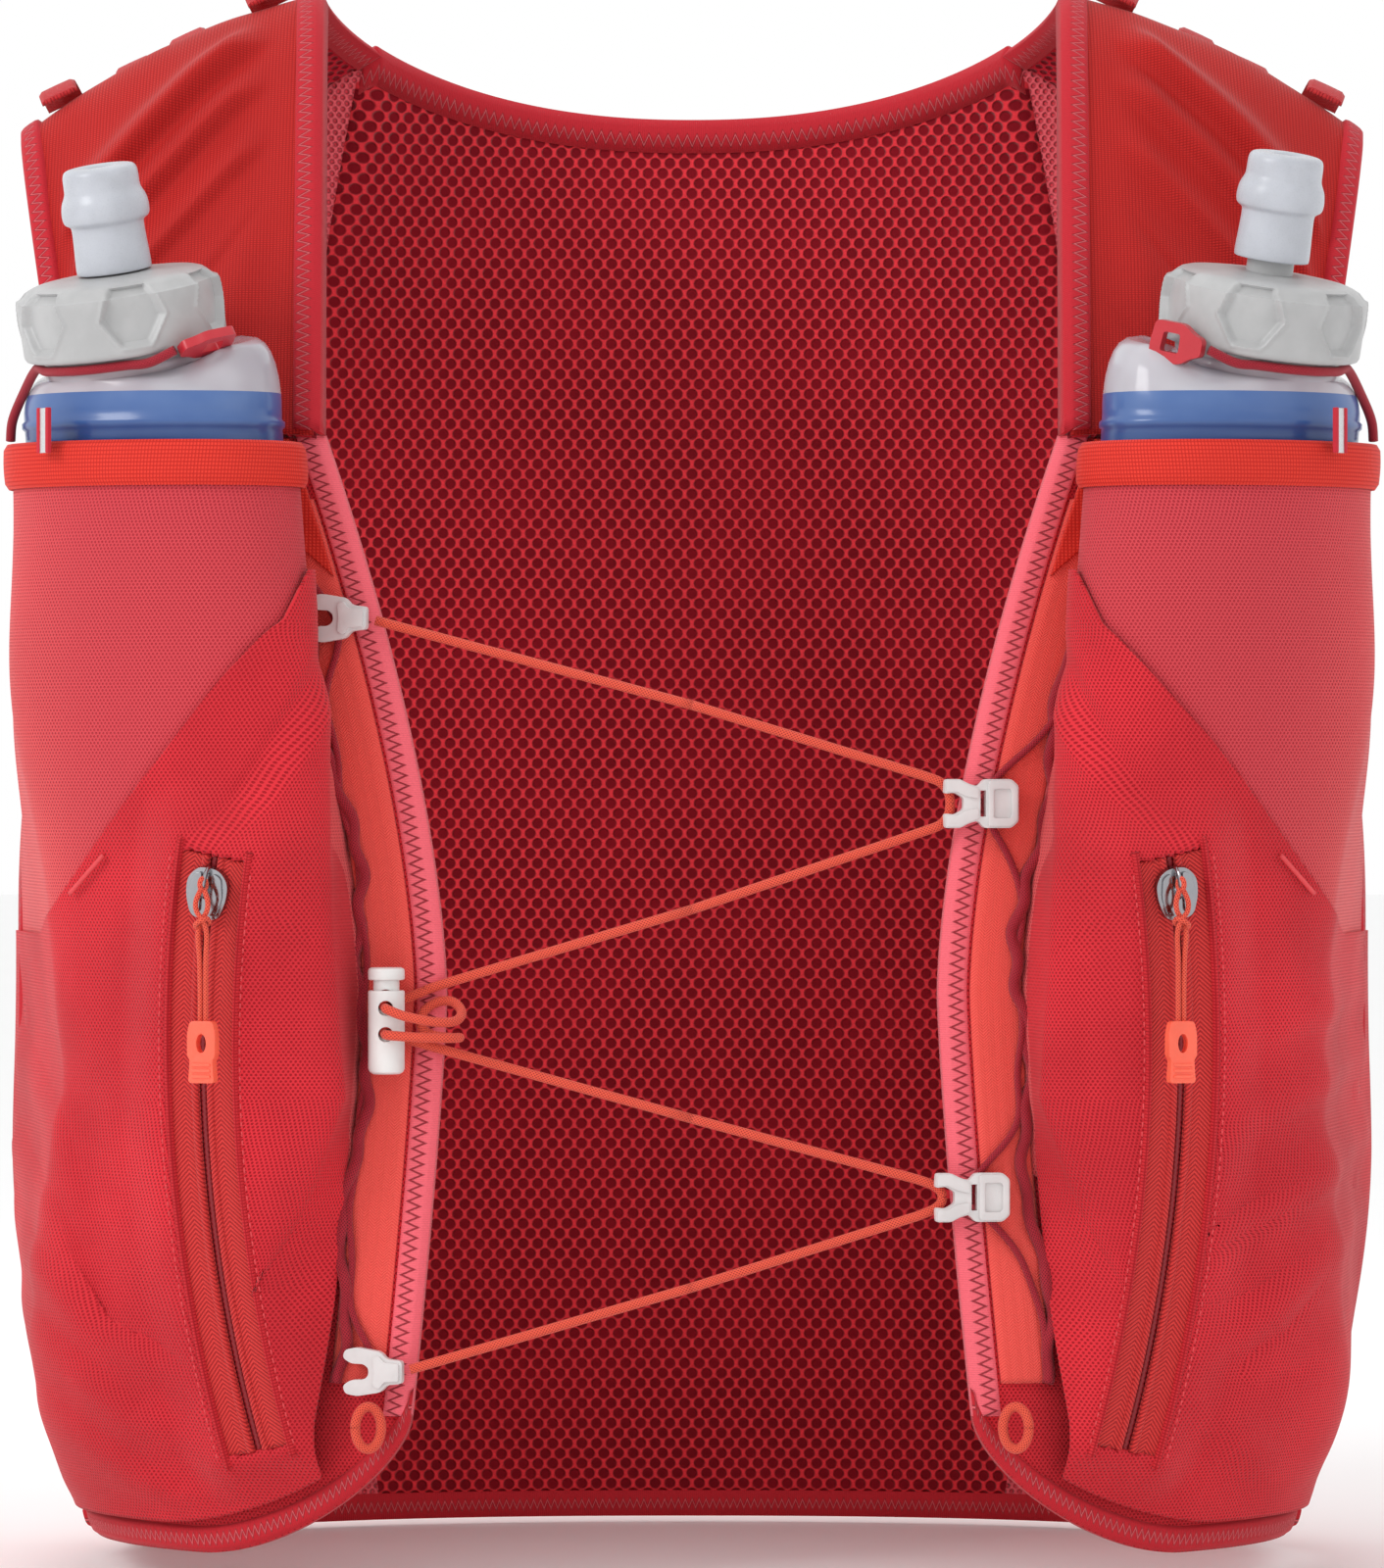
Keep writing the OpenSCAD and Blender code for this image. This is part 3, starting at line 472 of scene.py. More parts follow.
def lathe(name, profile, place, steps=96, shape=None):
    """A turned piece: profile of (radius, height), place((x, y, h)) to world, shape(r, h, a) bends it."""
    verts, uvs = [], []
    length = [0.0]
    for a, b in zip(profile, profile[1:]):
        length.append(length[-1] + math.hypot(b[0] - a[0], b[1] - a[1]))
    for i in range(steps + 1):
        a = 2 * math.pi * i / steps
        for (r, h), run in zip(profile, length):
            if shape:
                r, h = shape(r, h, math.degrees(a) % 360)
            verts.append(place((r * math.cos(a), r * math.sin(a), h)))
            uvs.append((a * max(r, 1) * MM, run * MM))
    return weld(make_object(name, verts, grid_faces(steps + 1, len(profile), False), uvs))


def round_corners(points, radius, steps=4):
    """The outline with each corner turned into a short curve."""
    out = []
    for k, p in enumerate(points):
        p = Vector(p)
        before, after = Vector(points[k - 1]) - p, Vector(points[(k + 1) % len(points)]) - p
        reach = min(radius, before.length / 2.2, after.length / 2.2)
        a, b = p + before.normalized() * reach, p + after.normalized() * reach
        for i in range(steps + 1):
            t = i / steps
            out.append(tuple(a * (1 - t) ** 2 + p * 2 * t * (1 - t) + b * t * t))
    return out


def ellipse(cx, cz, rx, rz, steps=20):
    return [(cx + rx * math.cos(2 * math.pi * k / steps), cz + rz * math.sin(2 * math.pi * k / steps))
            for k in range(steps)]


def plate(name, outline, depth, place, bevel=0.5, holes=(), base=0.0):
    """A flat piece with holes, standing from base to depth towards -Y, with rounded front edges."""
    bm = bmesh.new()
    for loop in (outline, *holes):
        verts = [bm.verts.new((x, -base, z)) for x, z in loop]
        for a, b in zip(verts, verts[1:] + verts[:1]):
            bm.edges.new((a, b))
    bmesh.ops.triangle_fill(bm, use_beauty=True, edges=bm.edges[:])
    raised = bmesh.ops.extrude_face_region(bm, geom=bm.faces[:])["geom"]
    raised = [v for v in raised if isinstance(v, bmesh.types.BMVert)]
    bmesh.ops.translate(bm, verts=raised, vec=(0, -depth, 0))
    bmesh.ops.recalc_face_normals(bm, faces=bm.faces[:])
    front_y = -base - depth + 1e-6
    rim = [e for e in bm.edges if len(e.link_faces) == 2 and e.calc_face_angle() > 1
           and max(v.co.y for v in e.verts) < front_y]
    bmesh.ops.bevel(bm, geom=rim, offset=bevel, segments=3, profile=0.5, affect="EDGES", clamp_overlap=True)
    mesh = bpy.data.meshes.new(name)
    bm.to_mesh(mesh)
    bm.free()
    for v in mesh.vertices:
        v.co = place(v.co)
    obj = weld(shown(name, mesh))
    mark_sharp(obj, 35)
    return obj


def join(name, objects):
    """Joins several objects into the first and names the result."""
    with bpy.context.temp_override(active_object=objects[0], selected_editable_objects=objects):
        bpy.ops.object.join()
    objects[0].name = name
    objects[0].data.name = name
    return objects[0]


def finish(obj, look, body="vest", nodes=(), angle=None):
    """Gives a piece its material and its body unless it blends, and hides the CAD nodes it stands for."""
    if look:
        obj.data.materials.clear()
        obj.data.materials.append(look)
    if angle is not None:
        mark_sharp(obj, angle)
    if body:
        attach(obj, body)
    if nodes:
        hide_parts(*nodes)
    return obj


def mark_sharp(obj, degrees):
    """Smooth shading apart from edges sharper than an angle."""
    mesh = obj.data
    mesh.polygons.foreach_set("use_smooth", [True] * len(mesh.polygons))
    bm = bmesh.new()
    bm.from_mesh(mesh)
    for e in bm.edges:
        if len(e.link_faces) == 2:
            e.smooth = e.calc_face_angle() < math.radians(degrees)
    bm.to_mesh(mesh)
    bm.free()


# ---------- materials ----------
def scaled(colour, share):
    """A colour made lighter or darker."""
    return tuple(min(1, share * c) for c in colour)


class Look:
    """A material being built from nodes. Lengths in its patterns are in millimetres."""

    def __init__(self, name, rough=0.8, **inputs):
        self.mat = bpy.data.materials.new(name)
        self.mat.use_nodes = True
        self.tree = self.mat.node_tree
        self.shader = self.tree.nodes["Principled BSDF"]
        self.shader.inputs["Roughness"].default_value = rough
        for key, value in inputs.items():
            self.shader.inputs[key.replace("_", " ")].default_value = value
        self.uv = None

    def node(self, kind, **settings):
        node = self.tree.nodes.new(kind)
        for key, value in settings.items():
            setattr(node, key, value)
        return node

    def put(self, socket, value):
        if isinstance(value, bpy.types.NodeSocket):
            self.tree.links.new(value, socket)
        else:
            socket.default_value = value

    def value(self, op, *args):
        node = self.node("ShaderNodeMath", operation=op)
        for socket, arg in zip(node.inputs, args):
            self.put(socket, arg)
        return node.outputs[0]

    def vector(self, op, *args):
        node = self.node("ShaderNodeVectorMath", operation=op)
        for socket, arg in zip(node.inputs, args):
            self.put(socket, arg)
        return node.outputs["Value" if op == "LENGTH" else "Vector"]

    def cloth_mm(self):
        """Distances across and along the cloth."""
        if self.uv is None:
            source = self.node("ShaderNodeUVMap", uv_map="fabric").outputs[0]
            self.uv = self.vector("MULTIPLY", source, (1000, 1000, 0))
        return self.uv

    def across_along(self):
        parts = self.node("ShaderNodeSeparateXYZ")
        self.put(parts.inputs[0], self.cloth_mm())
        return parts.outputs[0], parts.outputs[1]

    def place_mm(self):
        """The point on the object, at rest, in millimetres."""
        source = self.node("ShaderNodeTexCoord").outputs["Object"]
        return self.vector("MULTIPLY", source, (1000, 1000, 1000))

    def noise(self, size, detail=3, source=None, rough=0.55):
        """Noise from 0 to 1 whose features are about size millimetres wide."""
        node = self.node("ShaderNodeTexNoise")
        node.inputs["Scale"].default_value = 1 / size
        node.inputs["Detail"].default_value = detail
        node.inputs["Roughness"].default_value = rough
        self.put(node.inputs["Vector"], source or self.place_mm())
        return node.outputs[0]

    def ramp(self, value, low, high, to_low=0.0, to_high=1.0):
        node = self.node("ShaderNodeMapRange", interpolation_type="SMOOTHSTEP")
        for socket, v in zip(node.inputs, (value, low, high, to_low, to_high)):
            self.put(socket, v)
        return node.outputs[0]

    def blend(self, share, a, b):
        node = self.node("ShaderNodeMix", data_type="RGBA")
        self.put(node.inputs[0], share)
        self.put(node.inputs[6], (*a, 1) if isinstance(a, tuple) else a)
        self.put(node.inputs[7], (*b, 1) if isinstance(b, tuple) else b)
        return node.outputs[2]

    def holes(self, pitch, rows, shift=0.5):
        """Distance from the nearest hole of a lattice whose rows are staggered."""
        cells = self.vector("MULTIPLY", self.cloth_mm(), (1 / pitch, 0.5 / rows, 0))

        def nearest(offset):
            v = self.vector("FRACTION", self.vector("ADD", cells, (offset, offset, 0)))
            v = self.vector("MULTIPLY", self.vector("SUBTRACT", v, (0.5, 0.5, 0)), (pitch, 2 * rows, 0))
            return self.vector("LENGTH", v)
        return self.value("MINIMUM", nearest(0.0), nearest(shift))

    def ribs(self, socket, pitch):
        """A wave from 0 to 1 along one coordinate."""
        turns = self.value("MULTIPLY", socket, 2 * math.pi / pitch)
        return self.value("MULTIPLY_ADD", self.value("SINE", turns), 0.5, 0.5)

    def zigzag(self, middle, reach, period):
        """Distance from a zigzag line that runs along the cloth."""
        across, along = self.across_along()
        swing = self.value("PINGPONG", along, period / 2)
        line = self.value("MULTIPLY_ADD", swing, 4 * reach / period, middle - reach)
        return self.value("ABSOLUTE", self.value("SUBTRACT", across, line))

    def covered(self):
        """How much of what lies behind the cloth shows through here."""
        return self.node("ShaderNodeAttribute", attribute_name="cover").outputs["Fac"]

    def colour(self, socket):
        self.put(self.shader.inputs["Base Color"], socket if not isinstance(socket, tuple)
                 else (*socket, 1))

    def bump(self, height, depth=0.2, strength=1.0):
        node = self.node("ShaderNodeBump")
        node.inputs["Strength"].default_value = strength
        node.inputs["Distance"].default_value = depth * MM
        self.put(node.inputs["Height"], height)
        self.put(self.shader.inputs["Normal"], node.outputs[0])


def spacer_look(name, rib, recess_shade, pitch=4.0, rows=2.7, hole=1.3):
    """Knitted spacer mesh: raised ribs round staggered holes, the holes painted dark as the shade in their
    depth.
    """
    look = Look(name, 0.75, Sheen_Weight=0.08, Sheen_Roughness=0.4, Specular_IOR_Level=0.12)
    d = look.holes(pitch, rows)
    wall = look.ramp(d, hole - 0.35, hole + 0.25)
    thread = look.noise(0.5, 2)
    lit = look.blend(thread, scaled(rib, 0.72), scaled(rib, 1.25))
    # Painted shade: the holes' colour stands in for the shade in their depth, and the ribs take the lit
    # colour.
    deep = look.blend(look.ramp(look.noise(30), 0.35, 0.65), recess_shade, scaled(recess_shade, 1.25))
    look.colour(look.blend(wall, deep, lit))
    look.bump(look.value("MULTIPLY_ADD", thread, 0.12, wall), 0.9)
    return look.mat


def stretch_look(name, colour, through, over=None, pitch=1.1, rows=0.8, shade=0.12):
    """Fine stretch mesh with small staggered holes that show the layer behind, painted darker as its shade.
    """
    look = Look(name, 0.7, Sheen_Weight=0.12, Sheen_Roughness=0.35, Specular_IOR_Level=0.15)
    d = look.holes(pitch, rows)
    wall = look.ramp(d, 0.14, 0.36)
    mottled = look.ramp(look.noise(45, 4), 0.3, 0.7)
    base = look.blend(mottled, scaled(colour, 1 - shade), scaled(colour, 1 + shade))
    if over:
        base = look.blend(look.covered(), base, over)
    # Painted shade: the holes show the layer behind in a darker colour that stands in for its shade.
    look.colour(look.blend(wall, through, base))
    thread = look.noise(0.35, 2)
    look.bump(look.value("MULTIPLY_ADD", thread, 0.25, wall), 0.22)
    return look.mat


def knit_look(name, colour, dark, pitch=0.9):
    """Dense rib knit with fine lines along and across, the grooves between them painted darker as shade."""
    look = Look(name, 0.65, Sheen_Weight=0.10, Sheen_Roughness=0.3, Specular_IOR_Level=0.15)
    across, along = look.across_along()
    lines = look.value("MULTIPLY", look.ribs(along, pitch), look.ribs(across, pitch * 1.2))
    mottled = look.ramp(look.noise(40, 4), 0.3, 0.7)
    base = look.blend(mottled, scaled(colour, 0.88), colour)
    # Painted shade: the grooves between the lines take the darker colour.
    look.colour(look.blend(look.ramp(lines, 0.0, 0.35), dark, base))
    look.bump(lines, 0.12)
    return look.mat


def webbing_look(name, colour, dark):
    """Twill webbing whose diagonals turn back at each rib, the grooves between the diagonals painted darker
    as shade.
    """
    look = Look(name, 0.6, Sheen_Weight=0.12, Specular_IOR_Level=0.2)
    across, along = look.across_along()
    turn = look.value("PINGPONG", across, 1.4)
    twill = look.ribs(look.value("ADD", along, turn), 0.75)
    fine = look.ribs(across, 0.7)
    height = look.value("MULTIPLY_ADD", fine, 0.3, twill)
    # Painted shade: the grooves of the twill take the darker colour.
    look.colour(look.blend(look.ramp(twill, 0.1, 0.6), dark,
                           look.blend(look.noise(0.4, 2), scaled(colour, 0.85), colour)))
    look.bump(height, 0.14)
    return look.mat


def binding_look(name, colour, stitch, middle=3.6, reach=1.5, period=2.6):
    """Elastic binding: close ribs, with a zigzag seam in a thread of another colour; the gaps between the
    ribs and the groove beside the seam are painted darker as shade.
    """
    look = Look(name, 0.75, Sheen_Weight=0.14, Sheen_Roughness=0.35, Specular_IOR_Level=0.15)
    ribs = look.ribs(look.across_along()[1], 0.55)
    fuzz = look.noise(0.4, 3)
    base = look.blend(fuzz, scaled(colour, 0.8), scaled(colour, 1.12))
    # Painted shade between the ribs.
    base = look.blend(look.ramp(ribs, 0, 0.5, 0.25, 0), base, scaled(colour, 0.5))
    d = look.zigzag(middle, reach, period)
    thread = look.ramp(d, 0.2, 0.36, 1, 0)
    groove = look.ramp(d, 0.3, 0.75, 1, 0)
    # Painted shade in the groove beside the zigzag seam.
    base = look.blend(look.value("MULTIPLY", groove, 0.6), base, scaled(colour, 0.35))
    look.colour(look.blend(thread, base, stitch))
    height = look.value("MULTIPLY_ADD", ribs, 0.16, look.value("MULTIPLY", fuzz, 0.25))
    height = look.value("SUBTRACT", height, look.value("MULTIPLY", groove, 0.8))
    look.bump(look.value("MULTIPLY_ADD", thread, 1.1, height), 0.35)
    return look.mat


def cord_look(name, colour, dark, pitch=0.85):
    """Braided cord: crossing diagonal strands, with the gaps between them painted darker as shade."""
    look = Look(name, 0.6, Sheen_Weight=0.12, Specular_IOR_Level=0.2)
    across, along = look.across_along()
    one = look.ribs(look.value("ADD", along, across), pitch)
    two = look.ribs(look.value("SUBTRACT", along, across), pitch)
    braid = look.value("MAXIMUM", one, two)
    # Painted shade: the gaps between the strands take the darker colour.
    look.colour(look.blend(look.ramp(braid, 0.35, 0.9), dark, colour))
    look.bump(braid, 0.16)
    return look.mat


def moulded_look(name, colour, rough=0.4, grain=0.06, **inputs):
    """Moulded plastic with a faint grain and slight unevenness of colour."""
    look = Look(name, rough, **inputs)
    wide = look.ramp(look.noise(9, 3), 0.3, 0.7)
    look.colour(look.blend(wide, scaled(colour, 0.93), scaled(colour, 1.04)))
    fine = look.noise(0.25, 2)
    look.put(look.shader.inputs["Roughness"], look.ramp(fine, 0.2, 0.8, rough - 0.06, rough + 0.08))
    look.bump(fine, grain * 0.4)
    return look.mat


def metal_look(name, colour, rough):
    look = Look(name, rough, Metallic=1.0)
    scuffs = look.noise(1.6, 5)
    look.colour(look.blend(scuffs, scaled(colour, 0.85), colour))
    look.put(look.shader.inputs["Roughness"], look.ramp(scuffs, 0.35, 0.7, rough, rough + 0.12))
    look.bump(look.noise(0.6, 2), 0.01)
    return look.mat


# Each spacer mesh's second colour is painted shade in its holes.
SPACER = spacer_look("spacer_mesh", (0.78, 0.040, 0.056), (0.180, 0.002, 0.008), hole=1.42)
SIDE_MESH = spacer_look("side_mesh", (0.95, 0.13, 0.16), (0.60, 0.05, 0.07), 2.2, 1.5, 0.6)
LINING = spacer_look("lining_mesh", (0.52, 0.014, 0.03), (0.16, 0.002, 0.008), 3.0, 2.1, 0.85)
# Each stretch mesh's second colour is the layer behind its holes, painted darker as shade.
STASH = stretch_look("pocket_mesh", (0.63, 0.025, 0.037), (0.36, 0.006, 0.013))
FLASK_MESH = stretch_look("flask_mesh", (0.72, 0.095, 0.098), (0.42, 0.022, 0.036), (0.60, 0.055, 0.070),
                          shade=0.06)
BAND = knit_look("coral_band", (0.80, 0.048, 0.030), (0.50, 0.020, 0.014), 0.8)
# The yoke is a darker copy of the band's coral knit: painted shade over the top of the strap.
YOKE = knit_look("coral_yoke", (0.58, 0.022, 0.018), (0.32, 0.009, 0.009), 0.7)
# The rail webbing is painted lighter than its cloth, its grooves too, as painted light that makes up for
# the shade it sits in between the pockets.
WEBBING = webbing_look("webbing", (0.97, 0.115, 0.090), (0.80, 0.065, 0.055))
TAB_WEBBING = webbing_look("tab_webbing", (0.66, 0.035, 0.040), (0.38, 0.012, 0.018))
# The front and neck bindings are one binding painted in two copies: lighter on the front edge as painted
# light, darker on the neck and armholes as painted shade. The front seam's dark thread is partly painted
# shade.
FRONT_EDGE = binding_look("front_binding", (0.97, 0.150, 0.190), (0.42, 0.020, 0.035))
BINDING = binding_look("binding", (0.55, 0.021, 0.034), (0.80, 0.14, 0.16))
HEM_LOOK = binding_look("hem_binding", (0.57, 0.022, 0.034), (0.84, 0.15, 0.17), 3.4, 1.2, 1.9)
DARK_CORD = cord_look("dark_cord", (0.42, 0.018, 0.035), (0.16, 0.004, 0.010), 0.8)
CORAL_CORD = cord_look("coral_cord", (0.84, 0.110, 0.060), (0.45, 0.028, 0.020))
HOOK = moulded_look("hook_plastic", (0.66, 0.63, 0.625), 0.38)
LOCK = moulded_look("lock_plastic", (0.76, 0.745, 0.73), 0.34)
PULL = moulded_look("pull_plastic", (0.90, 0.13, 0.07), 0.35, Subsurface_Weight=0.2,
                    Subsurface_Radius=(0.003, 0.001, 0.0005))
TAB = moulded_look("tab_plastic", (0.50, 0.018, 0.030), 0.32)
CAP = moulded_look("cap_plastic", (0.43, 0.43, 0.432), 0.36, Subsurface_Weight=0.15,
                   Subsurface_Radius=(0.003, 0.003, 0.003))
VALVE = moulded_look("valve_silicone", (0.49, 0.505, 0.55), 0.30, Subsurface_Weight=0.3,
                     Subsurface_Radius=(0.006, 0.006, 0.007))
SEAL = moulded_look("seal_silicone", (0.75, 0.75, 0.75), 0.5)
CHROME = metal_look("polished_zinc", (0.36, 0.36, 0.38), 0.12)
STEEL = metal_look("spring_wire", (0.45, 0.45, 0.46), 0.3)


def zip_look(name, colour, dark):
    """Herringbone tape: slanted ribs that meet at the middle of each half, the grooves between them painted
    darker as shade.
    """
    look = Look(name, 0.6, Sheen_Weight=0.1, Specular_IOR_Level=0.2)
    across, along = look.across_along()
    slant = look.value("PINGPONG", look.value("ABSOLUTE", across), 4.6)
    rib = look.ribs(look.value("SUBTRACT", along, slant), 1.15)
    fine = look.ribs(look.value("ADD", along, slant), 0.4)
    height = look.value("MULTIPLY_ADD", fine, 0.15, rib)
    # Painted shade: the grooves between the ribs take the darker colour.
    look.colour(look.blend(look.ramp(rib, 0.05, 0.6), dark, colour))
    look.bump(height, 0.25)
    return look.mat


def film_look():
    """Clear, slightly milky film."""
    look = Look("flask_film", 0.2, IOR=1.2, Transmission_Weight=0.42, Specular_IOR_Level=0.6,
                Coat_Weight=0.5, Coat_Roughness=0.1)
    haze = look.ramp(look.noise(22, 2), 0.3, 0.7)
    look.colour(look.blend(haze, (0.60, 0.57, 0.63), (0.80, 0.80, 0.86)))
    look.bump(look.noise(14, 2), 0.12)
    return look.mat


def water_look():
    """Film with tinted drink behind it: paler just under its top, deeper below."""
    look = Look("flask_drink", 0.3, Specular_IOR_Level=0.4, Coat_Weight=0.4, Coat_Roughness=0.15)
    parts = look.node("ShaderNodeSeparateXYZ")
    look.put(parts.inputs[0], look.place_mm())
    level = look.ramp(parts.outputs[2], in_frame(RIDGE_Z - 6), in_frame(LIQUID_Z))
    tint = look.blend(level, (0.017, 0.062, 0.23), (0.050, 0.120, 0.33))
    look.colour(look.blend(look.ramp(look.noise(20, 3), 0.35, 0.75), tint,
                           look.blend(level, (0.026, 0.082, 0.27), (0.080, 0.155, 0.36))))
    look.bump(look.noise(12, 2), 0.2)
    return look.mat


def sparkle_look():
    look = Look("reflective_tape", 0.35, Metallic=0.6)
    beads = look.noise(0.25, 2)
    look.colour(look.blend(beads, (0.45, 0.45, 0.46), (0.85, 0.85, 0.86)))
    look.bump(beads, 0.05)
    return look.mat


LIQUID_Z, RIDGE_Z = 287, 279.5
ZIP_TAPE = zip_look("zip_tape", (0.74, 0.045, 0.040), (0.36, 0.010, 0.014))
COIL = moulded_look("zip_coil", (0.25, 0.006, 0.012), 0.5)
ZIP_HEM = knit_look("zip_hem", (0.64, 0.028, 0.038), (0.34, 0.008, 0.014), 0.8)
THREAD = moulded_look("thread", (0.70, 0.05, 0.06), 0.6)
BINDING_PLAIN = knit_look("plain_binding", (0.60, 0.03, 0.05), (0.35, 0.01, 0.02), 0.6)
REFLECTIVE = sparkle_look()
FILM, WATER = film_look(), water_look()


# ---------- places used by several pieces ----------
class ArcTable:
    """Distance along a skin at constant height, so that its weave keeps its real size."""

    def __init__(self, skin, low, high, step=8, steps=60):
        self.low, self.step, self.steps = low, step, steps
        levels = int(math.ceil((high - low) / step)) + 1
        self.rows = [arc_lengths([skin(i / steps, low + k * step) for i in range(steps + 1)])
                     for k in range(levels)]

    def __call__(self, u, z):
        row = min(max((z - self.low) / self.step, 0), len(self.rows) - 1.001)
        k, share = int(row), row - int(row)
        at = min(clamp01(u) * self.steps, self.steps - 0.001)
        i, part = int(at), at - int(at)
        one, two = self.rows[k], self.rows[k + 1]
        return mix(mix(one[i], one[i + 1], part), mix(two[i], two[i + 1], part), share)


TORSO_ROW = [torso(-90 + k, 200, 0) for k in range(91)]
TORSO_ARC = arc_lengths(TORSO_ROW)


def torso_arc(x):
    """Distance round the torso from the centre back or front to half width x."""
    for k in range(90):
        if TORSO_ROW[k + 1][0] >= x:
            share = (x - TORSO_ROW[k][0]) / max(1e-6, TORSO_ROW[k + 1][0] - TORSO_ROW[k][0])
            return mix(TORSO_ARC[k], TORSO_ARC[k + 1], share)
    return TORSO_ARC[90]


def torso_grain(u, v, p):
    """Where a point lies on the flat cloth: its arc round the torso and its height."""
    return (math.copysign(torso_arc(min(abs(p[0]), 170)), p[0]), p[2])


def turn_matrix(pos, lean_x, lean_y=0, turn_z=0):
    """The frame that OpenSCAD's translate and rotate give."""
    r = math.radians
    return (Matrix.Translation(pos) @ Matrix.Rotation(r(turn_z), 4, "Z")
            @ Matrix.Rotation(r(lean_y), 4, "Y") @ Matrix.Rotation(r(lean_x), 4, "X"))


def placed(matrix, sign):
    """A function from a point in a local frame to metres, mirrored for the other side."""
    def place(p):
        return world(matrix @ Vector(p), sign)
    return place


ZIP_FRAME = turn_matrix(Vector((118.5, -104, 101)), 12, 0, 17)
ZIP_BACK = ZIP_FRAME.inverted()
NECK_FRAME = turn_matrix(NECK_POS, *NECK_LEAN)


def on_zip(across, out, angle):
    """A point beside the front zip: millimetres across and out of the chest, and degrees along."""
    r = ZIP_R + across
    return ZIP_FRAME @ Vector((r * cos_d(angle) - ZIP_R, -out, r * sin_d(angle)))


def zip_along(t):
    """Degrees along the zip at a share of its length."""
    return mix(-ZIP_SPAN / 2, ZIP_SPAN / 2, t)


def edge_frame(z, inset):
    """The frame of a chest hook: X away from the front edge, -Y out of the chest."""
    p, q = front(0, z, 0, inset), front(0, z, 0, inset + 1)
    return Matrix.Translation(p) @ Matrix.Rotation(math.atan2(q[1] - p[1], q[0] - p[0]), 4, "Z")


def beside_route(x, z, route):
    """Signed distance from a route of (x, z), positive on its left, and how far along it, from 0 to 1."""
    best, side, share = 1e9, 1, 0
    here = Vector((x, z))
    for k in range(len(route) - 1):
        a, b = Vector(route[k]), Vector(route[k + 1])
        t = clamp01((here - a).dot(b - a) / (b - a).length_squared)
        gap = here - a.lerp(b, t)
        if gap.length < best:
            best, share = gap.length, (k + t) / (len(route) - 1)
            side = math.copysign(1, (b - a)[0] * gap[1] - (b - a)[1] * gap[0])
    return side * best, share


def crease(x, z, route, depth, width):
    """Height of a fold that runs along a route: a ridge on one side, a valley on the other."""
    away, share = beside_route(x, z, route)
    fade = max(0, math.sin(math.pi * share)) ** 0.7
    d = away / width
    return depth * fade * (1.6 if d > 0 else 0.8) * d * math.exp(-d * d)


def folds(x, z, creases):
    return sum(crease(x, z, *c) for c in creases)


def ripple(p, size, height, seed=0.0):
    """Soft unevenness of cloth."""
    return height * noise.noise(Vector((p[0] / size + seed, p[1] / size, p[2] / size)))


# ---------- back ----------
def make_back():
    panel = fabric("back_spacer_mesh", lambda u, v: back_wide(mix(1, -1, u) * mesh_share(v),
                                                              mix(0.01, 0.985, v), MESH_T),
                   70, 90, thick=MESH_T, grain=torso_grain)
    finish(panel, SPACER, nodes=["back_mesh_panel"])
    outer = fabric("back_outer_shell", lambda u, v: shell(mix(0.92, -0.92, u), mix(0.01, 0.98, v),
                   CLOTH + ripple((u * 300, 0, v * 380), 60, 1.6)), 80, 90, grain=torso_grain)
    finish(outer, STASH, nodes=["back_shell"])
    pocket = fabric("back_stretch_pocket", lambda u, v: shell(mix(0.8, -0.8, u), mix(0.02, POCKET_V, v),
                    2 * CLOTH + GAP + ripple((u * 260, 9, v * 180), 40, 1.2)), 80, 50, grain=torso_grain)
    finish(pocket, FLASK_MESH, nodes=["back_stretch_pocket"])
    band = fabric("back_pocket_band", lambda u, v: shell(mix(0.8, -0.8, u),
                                                         mix(POCKET_V - 0.03, POCKET_V + 0.002, v),
                  3.3 * CLOTH + 2 * GAP + 0.5 * sin_d(180 * v)), 80, 8, grain=torso_grain)
    finish(band, BAND, nodes=["back_pocket_band"])
    for side, sign in SIDES:
        panel = fabric("side_mesh_" + side, lambda u, v: back(mix(1, mesh_share(v) - 0.005, u), v * 0.999,
                                                              CLOTH),
                       34, 80, sign, grain=torso_grain)
        finish(panel, SIDE_MESH, nodes=["side_panel_" + side])


# ---------- straps ----------
# The front of a strap's big folds: where each starts at the neck, its rise and its width
FOLDS_ACROSS = ((0.13, 6.5, 0.085), (0.0, 4.5, 0.06), (-0.13, 3.0, 0.05))


def pleats(s, w):
    """Soft folds across the front of the strap, steep on their lower side, and gathers under them."""
    along = s + 0.33 + 0.42 * w
    lift = 0
    for start, rise, width in FOLDS_ACROSS:
        d = (along - start) / width
        lift += rise * math.exp(-(d if d > 0 else d / 0.22) ** 2)
    under = smooth((-0.2 - along) / 0.06) * smooth((s + 1.0) / 0.15)
    lift += under * 2.6 * abs(math.sin(16 * along + 1.1 * math.sin(4 * w))) ** 0.7
    return lift * smooth((w - 0.13) / 0.14) * smooth((0.93 - w) / 0.14)


# Where the yokes and linings end on the back and on the front, just past their seams
STRAP_SPAN = (1.01, -1.006)


